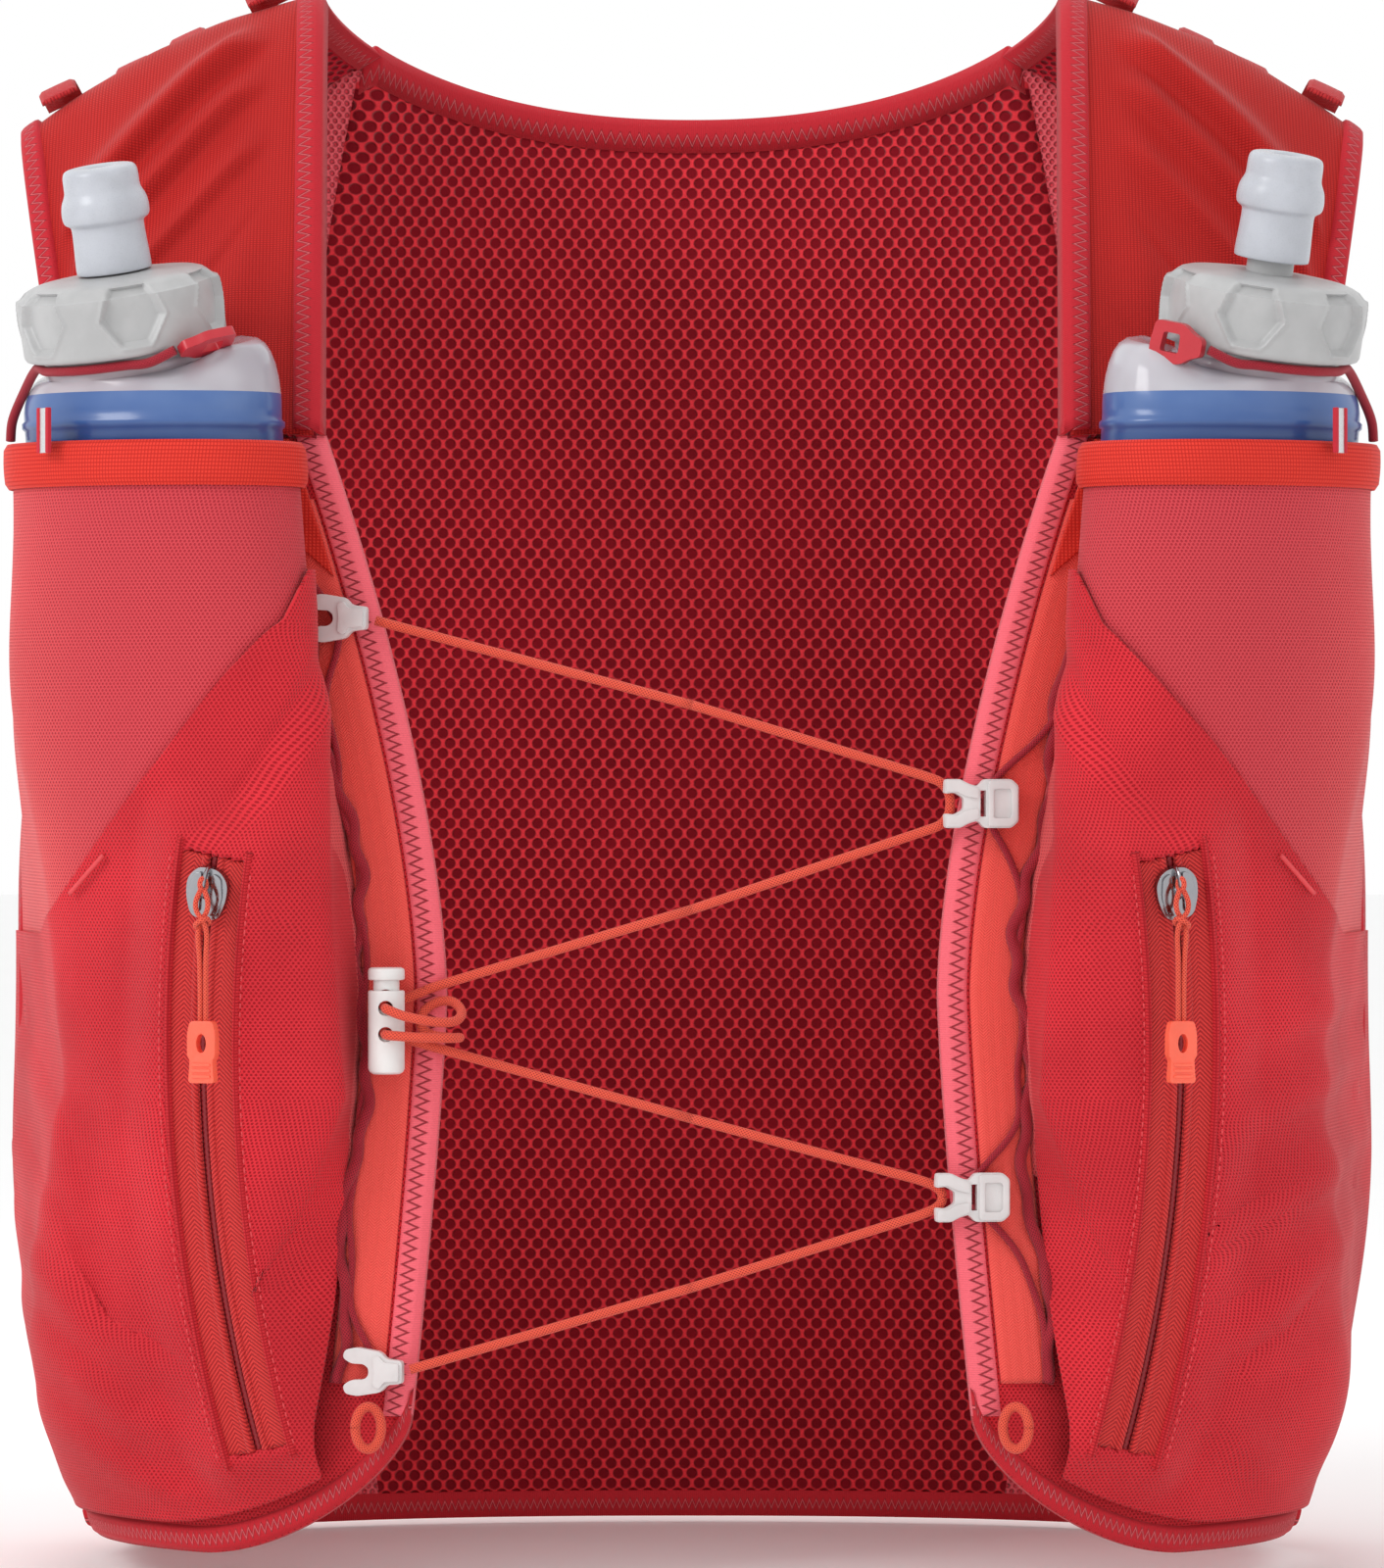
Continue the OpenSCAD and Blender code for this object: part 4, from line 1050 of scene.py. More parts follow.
def make_straps():
    linings = []
    for side, sign in SIDES:
        yoke = fabric("shoulder_yoke_" + side, lambda u, v: strap(mix(*STRAP_SPAN, u), mix(0.02, 0.98, v),
                      YOKE_OFF + CLOTH - 0.4 + pleats(mix(*STRAP_SPAN, u), v)
                      + smooth((v - 0.1) / 0.1) * ripple((u * 200, sign * 40, v * 90), 22, 0.7)), 220, 60,
                      sign,
                      grain=lambda u, v, p: (p[0], 1.1 * p[2] + 0.3 * p[1]))
        finish(yoke, YOKE, nodes=["shoulder_yoke_" + side])
        linings.append(fabric("shoulder_lining_" + side,
                              lambda u, v: strap(mix(*STRAP_SPAN, u), mix(0.02, 0.98, v),
                       YOKE_OFF - GAP), 60, 30, sign, thick=YOKE_OFF - GAP))
    for obj in linings:
        finish(obj, LINING, nodes=["shoulder_linings"])


# ---------- bindings ----------
BIND_LOW, BIND_HIGH = -0.9, 1.9


def make_bindings():
    edge = strip_profile(0, BINDING_W, BIND_LOW, BIND_HIGH, 0.35)
    neck = strip_profile(0, BINDING_W, BIND_LOW, YOKE_OFF + 1.7, 0.3)
    back_neck = strip_profile(0, BINDING_W, BIND_LOW, MESH_T + 1.6, 0.3)
    for side, sign in SIDES:
        obj = sweep("front_binding_" + side, lambda t, a, b: front(0, mix(HEM_CORNER_H, STRAP_Z, t), b, a),
                    edge, 160, sign)
        finish(obj, FRONT_EDGE, nodes=["front_binding_" + side])
        obj = sweep("neck_binding_" + side, lambda t, a, b: strap(mix(-1, 1, t),
                                                                  a / strap_width(mix(-1, 1, t)), b),
                    neck, 120, sign)
        finish(obj, BINDING, nodes=["neck_binding"])
        parts = [
            sweep("arm_front", lambda t, a, b: strap(mix(-0.98, 0.98, t),
                                                     1 - a / strap_width(mix(-0.98, 0.98, t)), b),
                  neck, 110, sign),
            sweep("arm_panel", lambda t, a, b: front_side(mix(ARM_Z + 2, STRAP_Z - 1, t), a, b), edge, 90,
                  sign),
            sweep("arm_back", lambda t, a, b: back_side(mix(0.39, 0.985, t), a, b), edge, 90, sign)]
        for part in parts:
            weld(part)
        obj = join("armhole_binding_" + side, parts)
        finish(obj, BINDING, nodes=["armhole_binding_" + side])
        obj = sweep("hem_binding_" + side, lambda t, a, b: hem_point(t, a, b), edge, 170, sign)
        finish(obj, HEM_LOOK, nodes=["hem_binding"])
    low = strip_profile(0, BINDING_W, BIND_LOW, MESH_T + 0.6, 0.3)
    obj = sweep("hem_binding_back", lambda t, a, b: back_wide(mix(0.985, -0.985, t), a / 385, b), low, 160)
    finish(obj, HEM_LOOK, nodes=["hem_binding"])
    obj = sweep("neck_binding_back", lambda t, a, b: back_wide(mix(0.62, -0.62, t), 1 - a / 375, b),
                back_neck, 110)
    finish(obj, BINDING, nodes=["neck_binding"])


def strap_width(s):
    """Distance between the strap's two edges."""
    return (strap_outer(s) - strap_inner(s)).length


def front_side(z, a, b):
    """The front panel's edge on the armhole, a millimetres in from it."""
    return front(1 - a / 90, z, b)


def back_side(v, a, b):
    """The back's edge on the armhole, a millimetres in from it."""
    return back(1 - a / 95, v, b)


def hem_point(t, a, b):
    """A point of the front hem's binding, a millimetres above the edge."""
    x = front(t ** 1.4, HEM_CORNER_H, 0)[0]
    return front(t ** 1.4, hem_z(x) + a, b)


# ---------- front panels and pockets ----------
# Folds of the pocket cloth on each side: route of (x, z), depth and width
LEFT_FOLDS = [
    ([(122, 122), (146, 128), (178, 136)], 3.0, 8), ([(118, 96), (146, 108), (178, 122)], 3.0, 8),
    ([(126, 72), (150, 84), (178, 102)], 3.4, 8), ([(122, 44), (148, 56), (174, 84)], 3.6, 9),
    ([(106, 42), (128, 28), (148, 8)], 2.6, 7.5), ([(82, 24), (100, 26), (120, 44)], 2.2, 7), ]
RIGHT_FOLDS = [
    ([(178, 140), (156, 112), (146, 78)], 3.0, 8), ([(178, 116), (156, 88), (142, 54)], 3.4, 8),
    ([(176, 96), (146, 60), (116, 44)], 3.8, 8), ([(172, 68), (136, 38), (104, 28)], 3.6, 8),
    ([(164, 42), (126, 18), (84, 20)], 3.0, 7.5), ]


# The stash pocket's mouth: its heights at the rail and at the side, where it starts to fall, and its slope
MOUTH_IN, MOUTH_OUT, MOUTH_FROM, MOUTH_SLOPE = 244, 152, 94.8, 1.3
# The ends of the bar tack beside the mouth, as (x, z)
TACK = (143.9, 174.2), (152.3, 164.6)


@lru_cache(maxsize=None)
def mouth_z(u):
    """The stash pocket's mouth, a straight fall from the rail to the side."""
    z = MOUTH_IN
    for _ in range(4):
        past = drape(min(u, 0.86), z, STASH_LAYER)[0] - MOUTH_FROM
        z = min(MOUTH_IN, max(MOUTH_OUT, MOUTH_IN - MOUTH_SLOPE * past))
    return z


def beside_zip(p):
    """Lays cloth flat beside the zip, just in front of the tapes' edges."""
    local = ZIP_BACK @ p
    across = math.hypot(local[0] + ZIP_R, local[2]) - ZIP_R
    angle = math.degrees(math.atan2(local[2], local[0] + ZIP_R))
    past = max(0, abs(angle) - ZIP_SPAN / 2) * ZIP_R * math.pi / 180
    near = 1 - smooth(math.hypot(max(0, abs(across) - ZIP_W / 2), past) / 16)
    level = -0.8 if abs(across) < ZIP_W / 2 - 0.3 and past == 0 else 1.5
    return ZIP_FRAME @ Vector((local[0], mix(local[1], -level, near), local[2]))


# The zipped pocket's folded upper edge, from the rail to the top of the zip
FOLD = [(88, 224), (92, 216), (103, 196), (110.5, 186), (121, 177), (124.5, 171)]


def folded(x, z):
    """Lift of the zipped pocket's layer over the sash above it, with a soft roll at its edge."""
    above, share = beside_route(x, z, FOLD)
    d = -above
    fade = smooth((1 - share) / 0.12)
    groove = 0.5 * math.exp(-((d + 2.6) / 2.2) ** 2)
    return fade * (1.7 * smooth((d + 2.4) / 5) * math.exp(-max(0, d - 3) / 18) - groove)


def stash_skin(sign):
    """The stash pocket's face: draped, folded, rippled and flat beside the zip."""
    creases = LEFT_FOLDS if sign > 0 else RIGHT_FOLDS

    def skin(u, v):
        x = front(u, 0, 0, SEAM_INSET)[0]
        z = mix(hem_z(x) + BINDING_W + 0.6, mouth_z(u), v)
        flat = drape(u, z, STASH_LAYER)
        calm = smooth(v / 0.05) * smooth(u / 0.05) * smooth((1 - u) / 0.04)
        lift = folds(flat[0], z, creases) + ripple(flat, 26, 0.8, 7 * sign) + folded(flat[0], z)
        hug = 1.4 * smooth((v - 0.6) / 0.4) * smooth((u - 0.45) / 0.2)
        return beside_zip(drape(u, z, STASH_LAYER + CLOTH - hug + calm * lift))
    return skin


def on_pocket(x, z, out):
    """The point of the stash pocket's face at x and z, on its front half."""
    low, high = 0.1, 0.72
    for _ in range(16):
        middle = (low + high) / 2
        low, high = (middle, high) if drape(middle, z, STASH_LAYER)[0] < x else (low, middle)
    return drape(low, z, STASH_LAYER + CLOTH + out)


def corner_point(u, v):
    """The corner of the band's knit that is sewn down beside the front edge."""
    out = 3.2 + ripple((u * 9, 0, v * 30), 9, 0.4)
    return front(0, mix(243 + 18 * u, STRAP_Z - 1, v), out, mix(BINDING_W + 0.3, SEAM_INSET + 2.5, u))


def make_pockets():
    grain = ArcTable(lambda u, z: drape(u, z, STASH_LAYER), 0, RIM_Z + 4)
    for side, sign in SIDES:
        panel = fabric("front_panel_" + side, lambda u, v: front_v(u ** 1.4, v, CLOTH, 1, STRAP_Z), 60, 80,
                       sign, grain=torso_grain)
        finish(panel, STASH, nodes=["front_panel_" + side])
        pocket = fabric("flask_pocket_" + side, lambda u, v: drape(u, mix(95, RIM_Z, v),
                                                                   FLASK_LAYER + CLOTH), 150, 100,
                        sign, grain=lambda u, v, p: (grain(u, p[2]), p[2]),
                        cover=lambda u, v, p: smooth((u - 0.14) / 0.16) * smooth((0.80 - u) / 0.22))
        finish(pocket, FLASK_MESH, nodes=["flask_pocket_" + side])
        band = sweep("flask_band_" + side, lambda t, a, b: drape(t, RIM_Z - BAND_H + a,
                                                                 STASH_LAYER - GAP + b),
                     strip_profile(0, BAND_H, -0.4, 1.1, 0.4), 150, sign)
        finish(band, BAND, nodes=["flask_band_" + side])
        corner = fabric("band_corner_" + side, corner_point, 24, 40, sign,
                        grain=lambda u, v, p: (p[0], p[2]))
        finish(corner, BAND)
        stash = fabric("stash_pocket_" + side, stash_skin(sign), 230, 240, sign,
                       grain=lambda u, v, p: (grain(u, p[2]), p[2]))
        finish(stash, STASH, nodes=["stash_pocket_" + side])
        line = [on_pocket(*Vector(TACK[0]).lerp(Vector(TACK[1]), k / 12), 0.2) for k in range(13)]
        finish(tube("bar_tack_" + side, line, 1.2, sign, 8, flat=0.8), THREAD)


# ---------- rails ----------
HOOKS = {"hook_upper_left": (186.8, 3.9), "hook_lower_left": (90.2, 3.9),
         "hook_upper_right": (232.4, 9), "hook_lower_right": (47.2, 9)}
RAIL_OUT = BINDING_W + RAIL_W - 0.2


def rail_inset(z, side):
    """How far in the rail cord runs: it waves, and each hook draws it towards the front edge."""
    pulls = [v for k, v in HOOKS.items() if k.endswith(side)]
    waves = 0.9 * math.sin(z / 5.2 + (1 if side == "left" else 0)) * math.sin(z / 17)
    drawn = sum(math.exp(-((z - hz) / 13) ** 2) * (RAIL_OUT - inset) for hz, inset in pulls)
    return RAIL_OUT + waves - drawn


def ruffle(z, sign):
    """The middle of the pocket's gathered edge beside the rail."""
    return front(0, z, 3.6 + 0.5 * math.sin(z / 2.1),
                 RAIL_OUT + 0.5 + 1.9 * math.sin(z / 9.5 + sign) + 0.6 * math.sin(z / 2.3))


def make_rails():
    profile = strip_profile(BINDING_W + 0.2, BINDING_W + RAIL_W + 2, CLOTH + 0.2, 2.4, 0.15, 12)
    heights = [mix(44, 250, k / 220) for k in range(221)]
    for side, sign in SIDES:
        obj = sweep("rail_webbing_" + side, lambda t, a, b: front(0, mix(44, 262, t), b, a), profile, 140,
                    sign)
        finish(obj, WEBBING, nodes=["rail_webbing_" + side])
        route = [front(0, z, 3.5 + 0.4 * math.sin(z / 4), rail_inset(z, side)) for z in heights]
        finish(tube("rail_cord_" + side, route, 1.7, sign), DARK_CORD, nodes=["rail_cords"])
        route = [ruffle(z, sign) for z in heights]
        finish(tube("pocket_edge_" + side, route, 3.0, sign), DARK_CORD)


# ---------- front zips ----------
def half_round(middle, width, low, high, steps=8):
    """Outline of a bead: a half circle pressed to width and height, with its foot at low."""
    turns = [math.pi * k / steps for k in range(steps + 1)]
    return [(middle - width / 2 * math.cos(a), low + (high - low) * math.sin(a)) for a in turns]


def stitches(name, path, sign=1, dash=1.5, gap=0.8, d=0.42):
    """A row of stitches along path(t), in millimetres."""
    fine = [path(k / 600) for k in range(601)]
    runs = arc_lengths(fine)
    parts, at = [], 0.3
    while at + dash < runs[-1]:
        picks = [p for p, r in zip(fine, runs) if at <= r <= at + dash]
        if len(picks) > 1:
            parts.append(tube("stitch", [picks[0], picks[len(picks) // 2], picks[-1]], d, sign, 6))
        at += dash + gap
    return join(name, parts)


def make_zips():
    for side, sign in SIDES:
        tapes = []
        for out in (-1, 1):
            inner, outer = out * ZIP_SLIT / 2, out * (ZIP_W / 2 + 0.4)
            flat = strip_profile(min(inner, outer), max(inner, outer), -0.2, 0.9, 0.0, 14)
            tapes.append(weld(sweep("tape", lambda t, a, b: on_zip(a, b, zip_along(t)), flat, 110, sign)))
            tapes.append(weld(sweep("bead", lambda t, a, b: on_zip(a, b + 0.1 * math.sin(t * 620),
                                                                   zip_along(t)),
                                    half_round(out * 2.0, 1.9, 0.5, 1.5), 400, sign)))
        finish(join("zip_tape_" + side, tapes), ZIP_TAPE, nodes=["zip_tape_" + side])
        coil = sweep("zip_coil_" + side, lambda t, a, b: on_zip(a + 0.15 * math.sin(t * 700), b,
                                                                zip_along(t)),
                     half_round(0, 1.6, -0.4, 0.25), 420, sign)
        finish(coil, COIL, nodes=["zip_coils"])
        rolls = [weld(sweep("roll", lambda t, a, b: on_zip(a, b, zip_along(mix(-0.02, 1.02, t))),
                            half_round(out * (ZIP_W / 2 + 0.3), 2.0, 0.4, 2.3), 120, sign))
                 for out in (-1, 1)]
        finish(join("zip_hem_" + side, rolls), ZIP_HEM)
        seams = [stitches("row", lambda t: on_zip(out * (ZIP_W / 2 + 1.9), 2.55, zip_along(t)), sign)
                 for out in (-1, 1)]
        finish(join("zip_stitches_" + side, seams), THREAD)


# The slider's own frame: X across the zip, -Y out, Z along it, with the tape's back face at 0
SLIDER_REST = 10.6
TAPE_T, SLIDER_T, BAIL_R = 1.0, 2.1, 3.0
BAIL_OUT = TAPE_T + GAP + SLIDER_T + BAIL_R


def slider_parts(place):
    """A pear-shaped body with a stem on each side of the slot and an arched bail."""
    low = TAPE_T + GAP
    body = round_corners([(-3.4, -6.4), (3.4, -6.4), (5.2, -1), (5.2, 3.4), (2.6, 6.4), (-2.6, 6.4),
                          (-5.2, 3.4), (-5.2, -1)], 2.2, 5)
    parts = [plate("slider", body, SLIDER_T, place, 0.8, base=low)]
    for x in (-1, 1):
        lobe = round_corners([(x * 1.1, -5.2), (x * 3.2, -5), (x * 4.4, -0.6), (x * 3.6, 4.6),
                              (x * 1.4, 5.6)], 1.3, 4)
        parts.append(plate("lobe", lobe, 1.0, place, 0.6, base=low + SLIDER_T - 0.1))
    arch = [(0, -low - SLIDER_T + 0.4 - 3.1 * sin_d(a), 3 - 0.2 + 3.4 * cos_d(a))
            for a in range(0, 181, 15)]
    parts.append(tube_in(spline(arch, 3), 1.9, place, flat=0.55))
    return parts


def tube_in(points, d, place, sides=12, flat=1.0):
    """A tube whose points are in a local frame."""
    obj = tube("part", points, d, 1, sides, flat)
    for v in obj.data.vertices:
        p = v.co / MM
        v.co = place((p[0], p[1], p[2] - in_frame(0)))
    return weld(obj)


def pull_parts(place):
    """Two crossed strands that hang from an eye, and a moulded tab with a slot in it."""
    r = 1.45
    eye = [(0.25 * math.sin(2 * k * math.pi / 24), -r * math.sin(2 * k * math.pi / 24),
            r * math.cos(2 * k * math.pi / 24))
           for k in range(25)]
    cords = [tube_in(eye, 1.25, place)]
    for x in (-1, 1):
        strand = spline([(x * 0.4, -0.3, -1.2), (x * 1.5, -0.8, -4), (x * 1.3, -0.9, -6.5),
                         (-x * 0.5, -0.7 - 0.5 * x, -9), (-x * 1.1, -0.5, -12), (-x * 0.8, -0.2, -18),
                         (-x * 0.7, 0, -26), (-x * 0.7, 0, -34)], 5)
        cords.append(tube_in(strand, 1.3, place))
    knot = spline([(-1.5, -0.9, -8.2), (-0.4, -2.0, -8.6), (1.3, -1.6, -9.6), (1.5, -0.2, -10.4),
                   (0.2, 0.8, -10.2), (-1.4, 0.5, -9.2), (-1.5, -0.9, -8.2)], 5)
    cords.append(tube_in(knot, 1.2, place))
    outline = round_corners([(-2.9, -33), (2.9, -33), (3.6, -36), (3.6, -41.4), (2.9, -42.4), (3.3, -48),
                             (-3.3, -48), (-2.9, -42.4), (-3.6, -41.4), (-3.6, -36)], 0.9, 3)
    slot = ellipse(0, -38.4, 1.25, 2.3)
    tab = [plate("tab", outline, 3.0, lambda p: place((p[0], p[1] + 1.5, p[2])), 0.7, holes=(slot,))]
    for z in (-43.6, -45.0, -46.4):
        rib = round_corners([(-2.4, z - 0.35), (2.4, z - 0.35), (2.4, z + 0.35), (-2.4, z + 0.35)], 0.3, 2)
        tab.append(plate("rib", rib, 0.5, lambda p: place((p[0], p[1] + 1.5, p[2])), 0.2, base=2.9))
    return cords, tab


def make_sliders():
    """The front zips' sliders at rest near the top, each with its hanging pull."""
    at = Matrix.Translation((-ZIP_R, 0, 0)) @ Matrix.Rotation(math.radians(-SLIDER_REST), 4, "Y")
    slider_frame = ZIP_FRAME @ at @ Matrix.Translation((ZIP_R, 0, 0))
    pull_spot = Vector((ZIP_R * cos_d(SLIDER_REST) - ZIP_R - 0.55, -BAIL_OUT,
                        ZIP_R * sin_d(SLIDER_REST) + 2.95))
    pull_frame = ZIP_FRAME @ Matrix.Translation(pull_spot) @ Matrix.Rotation(math.radians(-12), 4, "X")
    for side, sign in SIDES:
        obj = join("zip_slider_" + side, slider_parts(placed(slider_frame, sign)))
        finish(obj, CHROME, "slider_" + side, ["zip_slider_" + side], 40)
        cords, tab = pull_parts(placed(pull_frame, sign))
        finish(join("zip_pull_cord_" + side, cords), CORAL_CORD, "pull_" + side, ["zip_pull_" + side],
               60)
        finish(join("zip_pull_tab_" + side, tab), PULL, "pull_" + side, ["zip_pull_" + side], 40)


# ---------- back zip ----------
BACK_ZIP_R, BACK_ZIP_Z, BACK_SLIDER = 470, 262, 6
BACK_ZIP_Y = CHEST_B + MESH_T + GAP + 0.5 + BULGE + CLOTH + 1.4


def on_back_zip(along, out, z):
    """A point beside the back zip: degrees along it, millimetres out of the back and up."""
    r = BACK_ZIP_R + out
    return Vector((r * sin_d(along), BACK_ZIP_Y - BACK_ZIP_R + r * cos_d(along), BACK_ZIP_Z + z))


def make_back_zip():
    parts = []
    for up in (-1, 1):
        inner, outer = up * ZIP_SLIT / 2, up * (ZIP_W / 2 + 0.3)
        flat = strip_profile(min(inner, outer), max(inner, outer), -0.1, 0.95, 0.0, 14)
        parts.append(weld(sweep("tape", lambda t, a, b: on_back_zip(mix(8, -8, t), b, a), flat, 90)))
        parts.append(weld(sweep("bead", lambda t, a, b: on_back_zip(mix(8, -8, t),
                                                                    b + 0.1 * math.sin(t * 560), a),
                                half_round(up * 2.0, 1.9, 0.5, 1.5), 360)))
        parts.append(weld(sweep("roll", lambda t, a, b: on_back_zip(mix(8.4, -8.4, t), b, a),
                                half_round(up * (ZIP_W / 2 + 0.3), 2.0, 0.2, 1.9), 90)))
    parts.append(weld(sweep("coil", lambda t, a, b: on_back_zip(mix(8, -8, t), b, a),
                            half_round(0, 1.6, -0.4, 0.3), 200)))
    finish(join("back_zip", parts), ZIP_TAPE, nodes=["back_zip"])
    turn = Matrix.Rotation(math.radians(-BACK_SLIDER), 4, "Z")
    hub = Matrix.Translation((0, BACK_ZIP_Y - BACK_ZIP_R,
                              BACK_ZIP_Z)) @ turn @ Matrix.Translation((0, BACK_ZIP_R, 0))
    hub = hub @ Matrix.Rotation(math.pi, 4, "Z")
    flat = hub @ Matrix.Rotation(math.radians(90), 4, "Y")
    obj = join("back_zip_slider", slider_parts(placed(flat, 1)))
    finish(obj, CHROME, "back_slider", ["back_zip_slider"], 40)
    cords, tab = pull_parts(placed(hub @ Matrix.Translation((3, -BAIL_OUT, 0)), 1))
    finish(join("back_pull_cord", cords), CORAL_CORD, "back_slider", ["back_zip_slider"], 60)
    finish(join("back_pull_tab", tab), PULL, "back_slider", ["back_zip_slider"], 40)


# ---------- chest hooks ----------
HOOK_OFF, PLATE_T = 4.8, 3.2


def claw_parts(place):
    """Prongs that face the centre, a waist with a slot for the rail cord, and a dished thumb pad."""
    body = round_corners([(-9.2, -6), (-5.5, -6), (-3.2, -4.8), (-1, -4.2), (0.6, -6), (7.4, -6),
                          (9.2, -4.4), (9.2, 4.4), (7.4, 6), (0.6, 6), (-1, 4.2), (-3.2, 4.8), (-5.5, 6),
                          (-9.2, 6), (-9.4, 2.4), (-6.8, 2.7), (-4.6, 1.4), (-4.6, -1.4), (-6.8, -2.7),
                          (-9.4, -2.4)], 0.7, 3)
    slot = [(-0.4, -3.2), (1.0, -3.2), (1.0, 3.2), (-0.4, 3.2)]
    parts = [plate("claw", body, PLATE_T - 0.8, place, 0.6, holes=(slot,), base=HOOK_OFF)]
    top = HOOK_OFF + PLATE_T - 0.9
    pad = round_corners([(1.5, -5.6), (7.2, -5.6), (8.8, -4.2), (8.8, 4.2), (7.2, 5.6), (1.5, 5.6)], 0.8, 3)
    dish = round_corners([(2.8, -3.6), (6.9, -3.6), (7.4, -2.8), (7.4, 2.8), (6.9, 3.6), (2.8, 3.6)], 0.6,
                         3)
    parts.append(plate("pad", pad, 0.9, place, 0.35, holes=(dish,), base=top))
    for z in (-1, 1):
        prong = round_corners([(-9.0, z * 5.7), (-5.6, z * 5.7), (-3.3, z * 4.5), (-1.0, z * 3.7),
                               (-1.0, z * 1.2), (-4.2, z * 1.8), (-6.6, z * 3.0), (-9.1, z * 2.8)], 0.5, 3)
        parts.append(plate("prong", prong, 0.8, place, 0.4, base=top))
    parts.append(jaw(place, 1.9, 3))
    return parts


def fork_parts(place):
    """Two prongs that face outwards, a U notch and a raised six-sided pad where the bungee ends."""
    body = round_corners([(-7.5, -2.8), (-3.6, -3.2), (-2, -5), (4, -6), (7, -5.4), (7.6, -3.4), (5.4, -2),
                          (2.2, -1.9), (1, -0.9), (1, 0.9), (2.2, 1.9), (5.4, 2), (7.6, 3.4), (7, 5.4),
                          (4, 6), (-2, 5), (-3.6, 3.2), (-7.5, 2.8)], 0.9, 3)
    parts = [plate("fork", body, PLATE_T - 0.8, place, 0.7, base=HOOK_OFF)]
    pad = round_corners([(-6.8, -2.2), (-3.2, -2.4), (-1.8, -4.1), (-0.3, -3.4), (-0.6, 0), (-0.3, 3.4),
                         (-1.8, 4.1), (-3.2, 2.4), (-6.8, 2.2)], 0.5, 3)
    parts.append(plate("pad", pad, 0.9, place, 0.4, base=HOOK_OFF + PLATE_T - 0.9))
    parts.append(jaw(place, -3, 2.5))
    return parts


def jaw(place, x, half):
    """The block behind a hook's plate, beside the rail cord."""
    outline = [(x, -half), (x + 1.1, -half), (x + 1.1, half), (x, half)]
    return plate("jaw", outline, 2.3, place, 0.2, base=2.7)


def make_hooks():
    for name, (z, inset) in HOOKS.items():
        sign = 1 if name.endswith("left") else -1
        place = placed(edge_frame(z, inset), sign)
        parts = claw_parts(place) if sign > 0 else fork_parts(place)
        finish(join("chest_" + name, parts), HOOK, name, ["chest_" + name], 35)


# ---------- chest bungee and cord lock ----------
LOCK_X, LOCK_Y, LOCK_FOOT, HOLE_LOW, HOLE_HIGH, LOCK_GAP = -74.8, -101.2, 120.6, 130.4, 136.8, 2.4
FORK_UP, FORK_DOWN = (-77.8, -93.8, 231.8), (-69.2, -96.4, 47.9)
UPPER_MID, UPPER_BACK = (0, -94.5, 211), (0, -95.1, 160.8)
LOWER_MID, LOWER_BACK = (0, -95.2, 109.4), (0, -95.9, 68)
UPPER_BIGHT = [(57, -95, 193.6), (61, -95, 192), (63, -95.1, 189.4), (63.4, -95.1, 186.8),
               (63, -95.1, 184.2), (61, -95, 181.6), (57, -95, 180)]
LOWER_BIGHT = [(55, -95.3, 94.6), (59, -95.3, 93.2), (61, -95.4, 91.6), (61.5, -95.4, 90.2),
               (61, -95.4, 88.6), (59, -95.3, 87), (55, -95.3, 85.4)]
LOCK_ROUTE = [
    (-58, -95.2, 143.4), (-66, -95.3, 140.6), (-71, -95.4, 138.6), (-74, -95.9, 137.3),
    (-74.8, -97.6, 136.8), (-74.8, -106, 136.8), (-73.6, -108.4, 136.3), (-70, -109.4, 135),
    (-63, -108.6, 133.6), (-58, -105, 133.6), (-56.4, -100, 135.6), (-58.4, -96.4, 138),
    (-62, -94.9, 138.2), (-65.2, -94.9, 136.4), (-66.6, -94.9, 134), (-66.2, -95.4, 131.6),
    (-63.4, -96.8, 129.9), (-58.6, -99.6, 129.4), (-56.8, -103.4, 129.6), (-59.6, -107.4, 129.6),
    (-66, -109.2, 129.8), (-72.6, -108.8, 130.2), (-74.8, -106, 130.4), (-74.8, -97.6, 130.4),
    (-73.9, -95.8, 130), (-70.4, -95.3, 129), (-57, -95.1, 125.2)]


def bungee_line(route, a):
    """A run's centre line: straight over its long part, curved where it turns round a hook or the lock."""
    if len(route) == 2:
        return [route[0].lerp(route[1], k / 24) for k in range(25)]
    if a is None:
        return spline(route, 5)
    if a == "vest":
        return [route[0].lerp(route[1], k / 24) for k in range(24)] + spline(route[1:], 5)
    return spline(route[:-1], 5) + [route[-1].lerp(route[-2], k / 24) for k in range(23, -1, -1)]


def blend_ends(a, route, dense):
    """Where the part of a run that stretches between its two bodies starts and ends."""
    if a == "vest":
        return dense[3], route[1] if len(route) > 2 else dense[-3]
    return (route[-2] if len(route) > 2 else dense[3]), dense[-4]


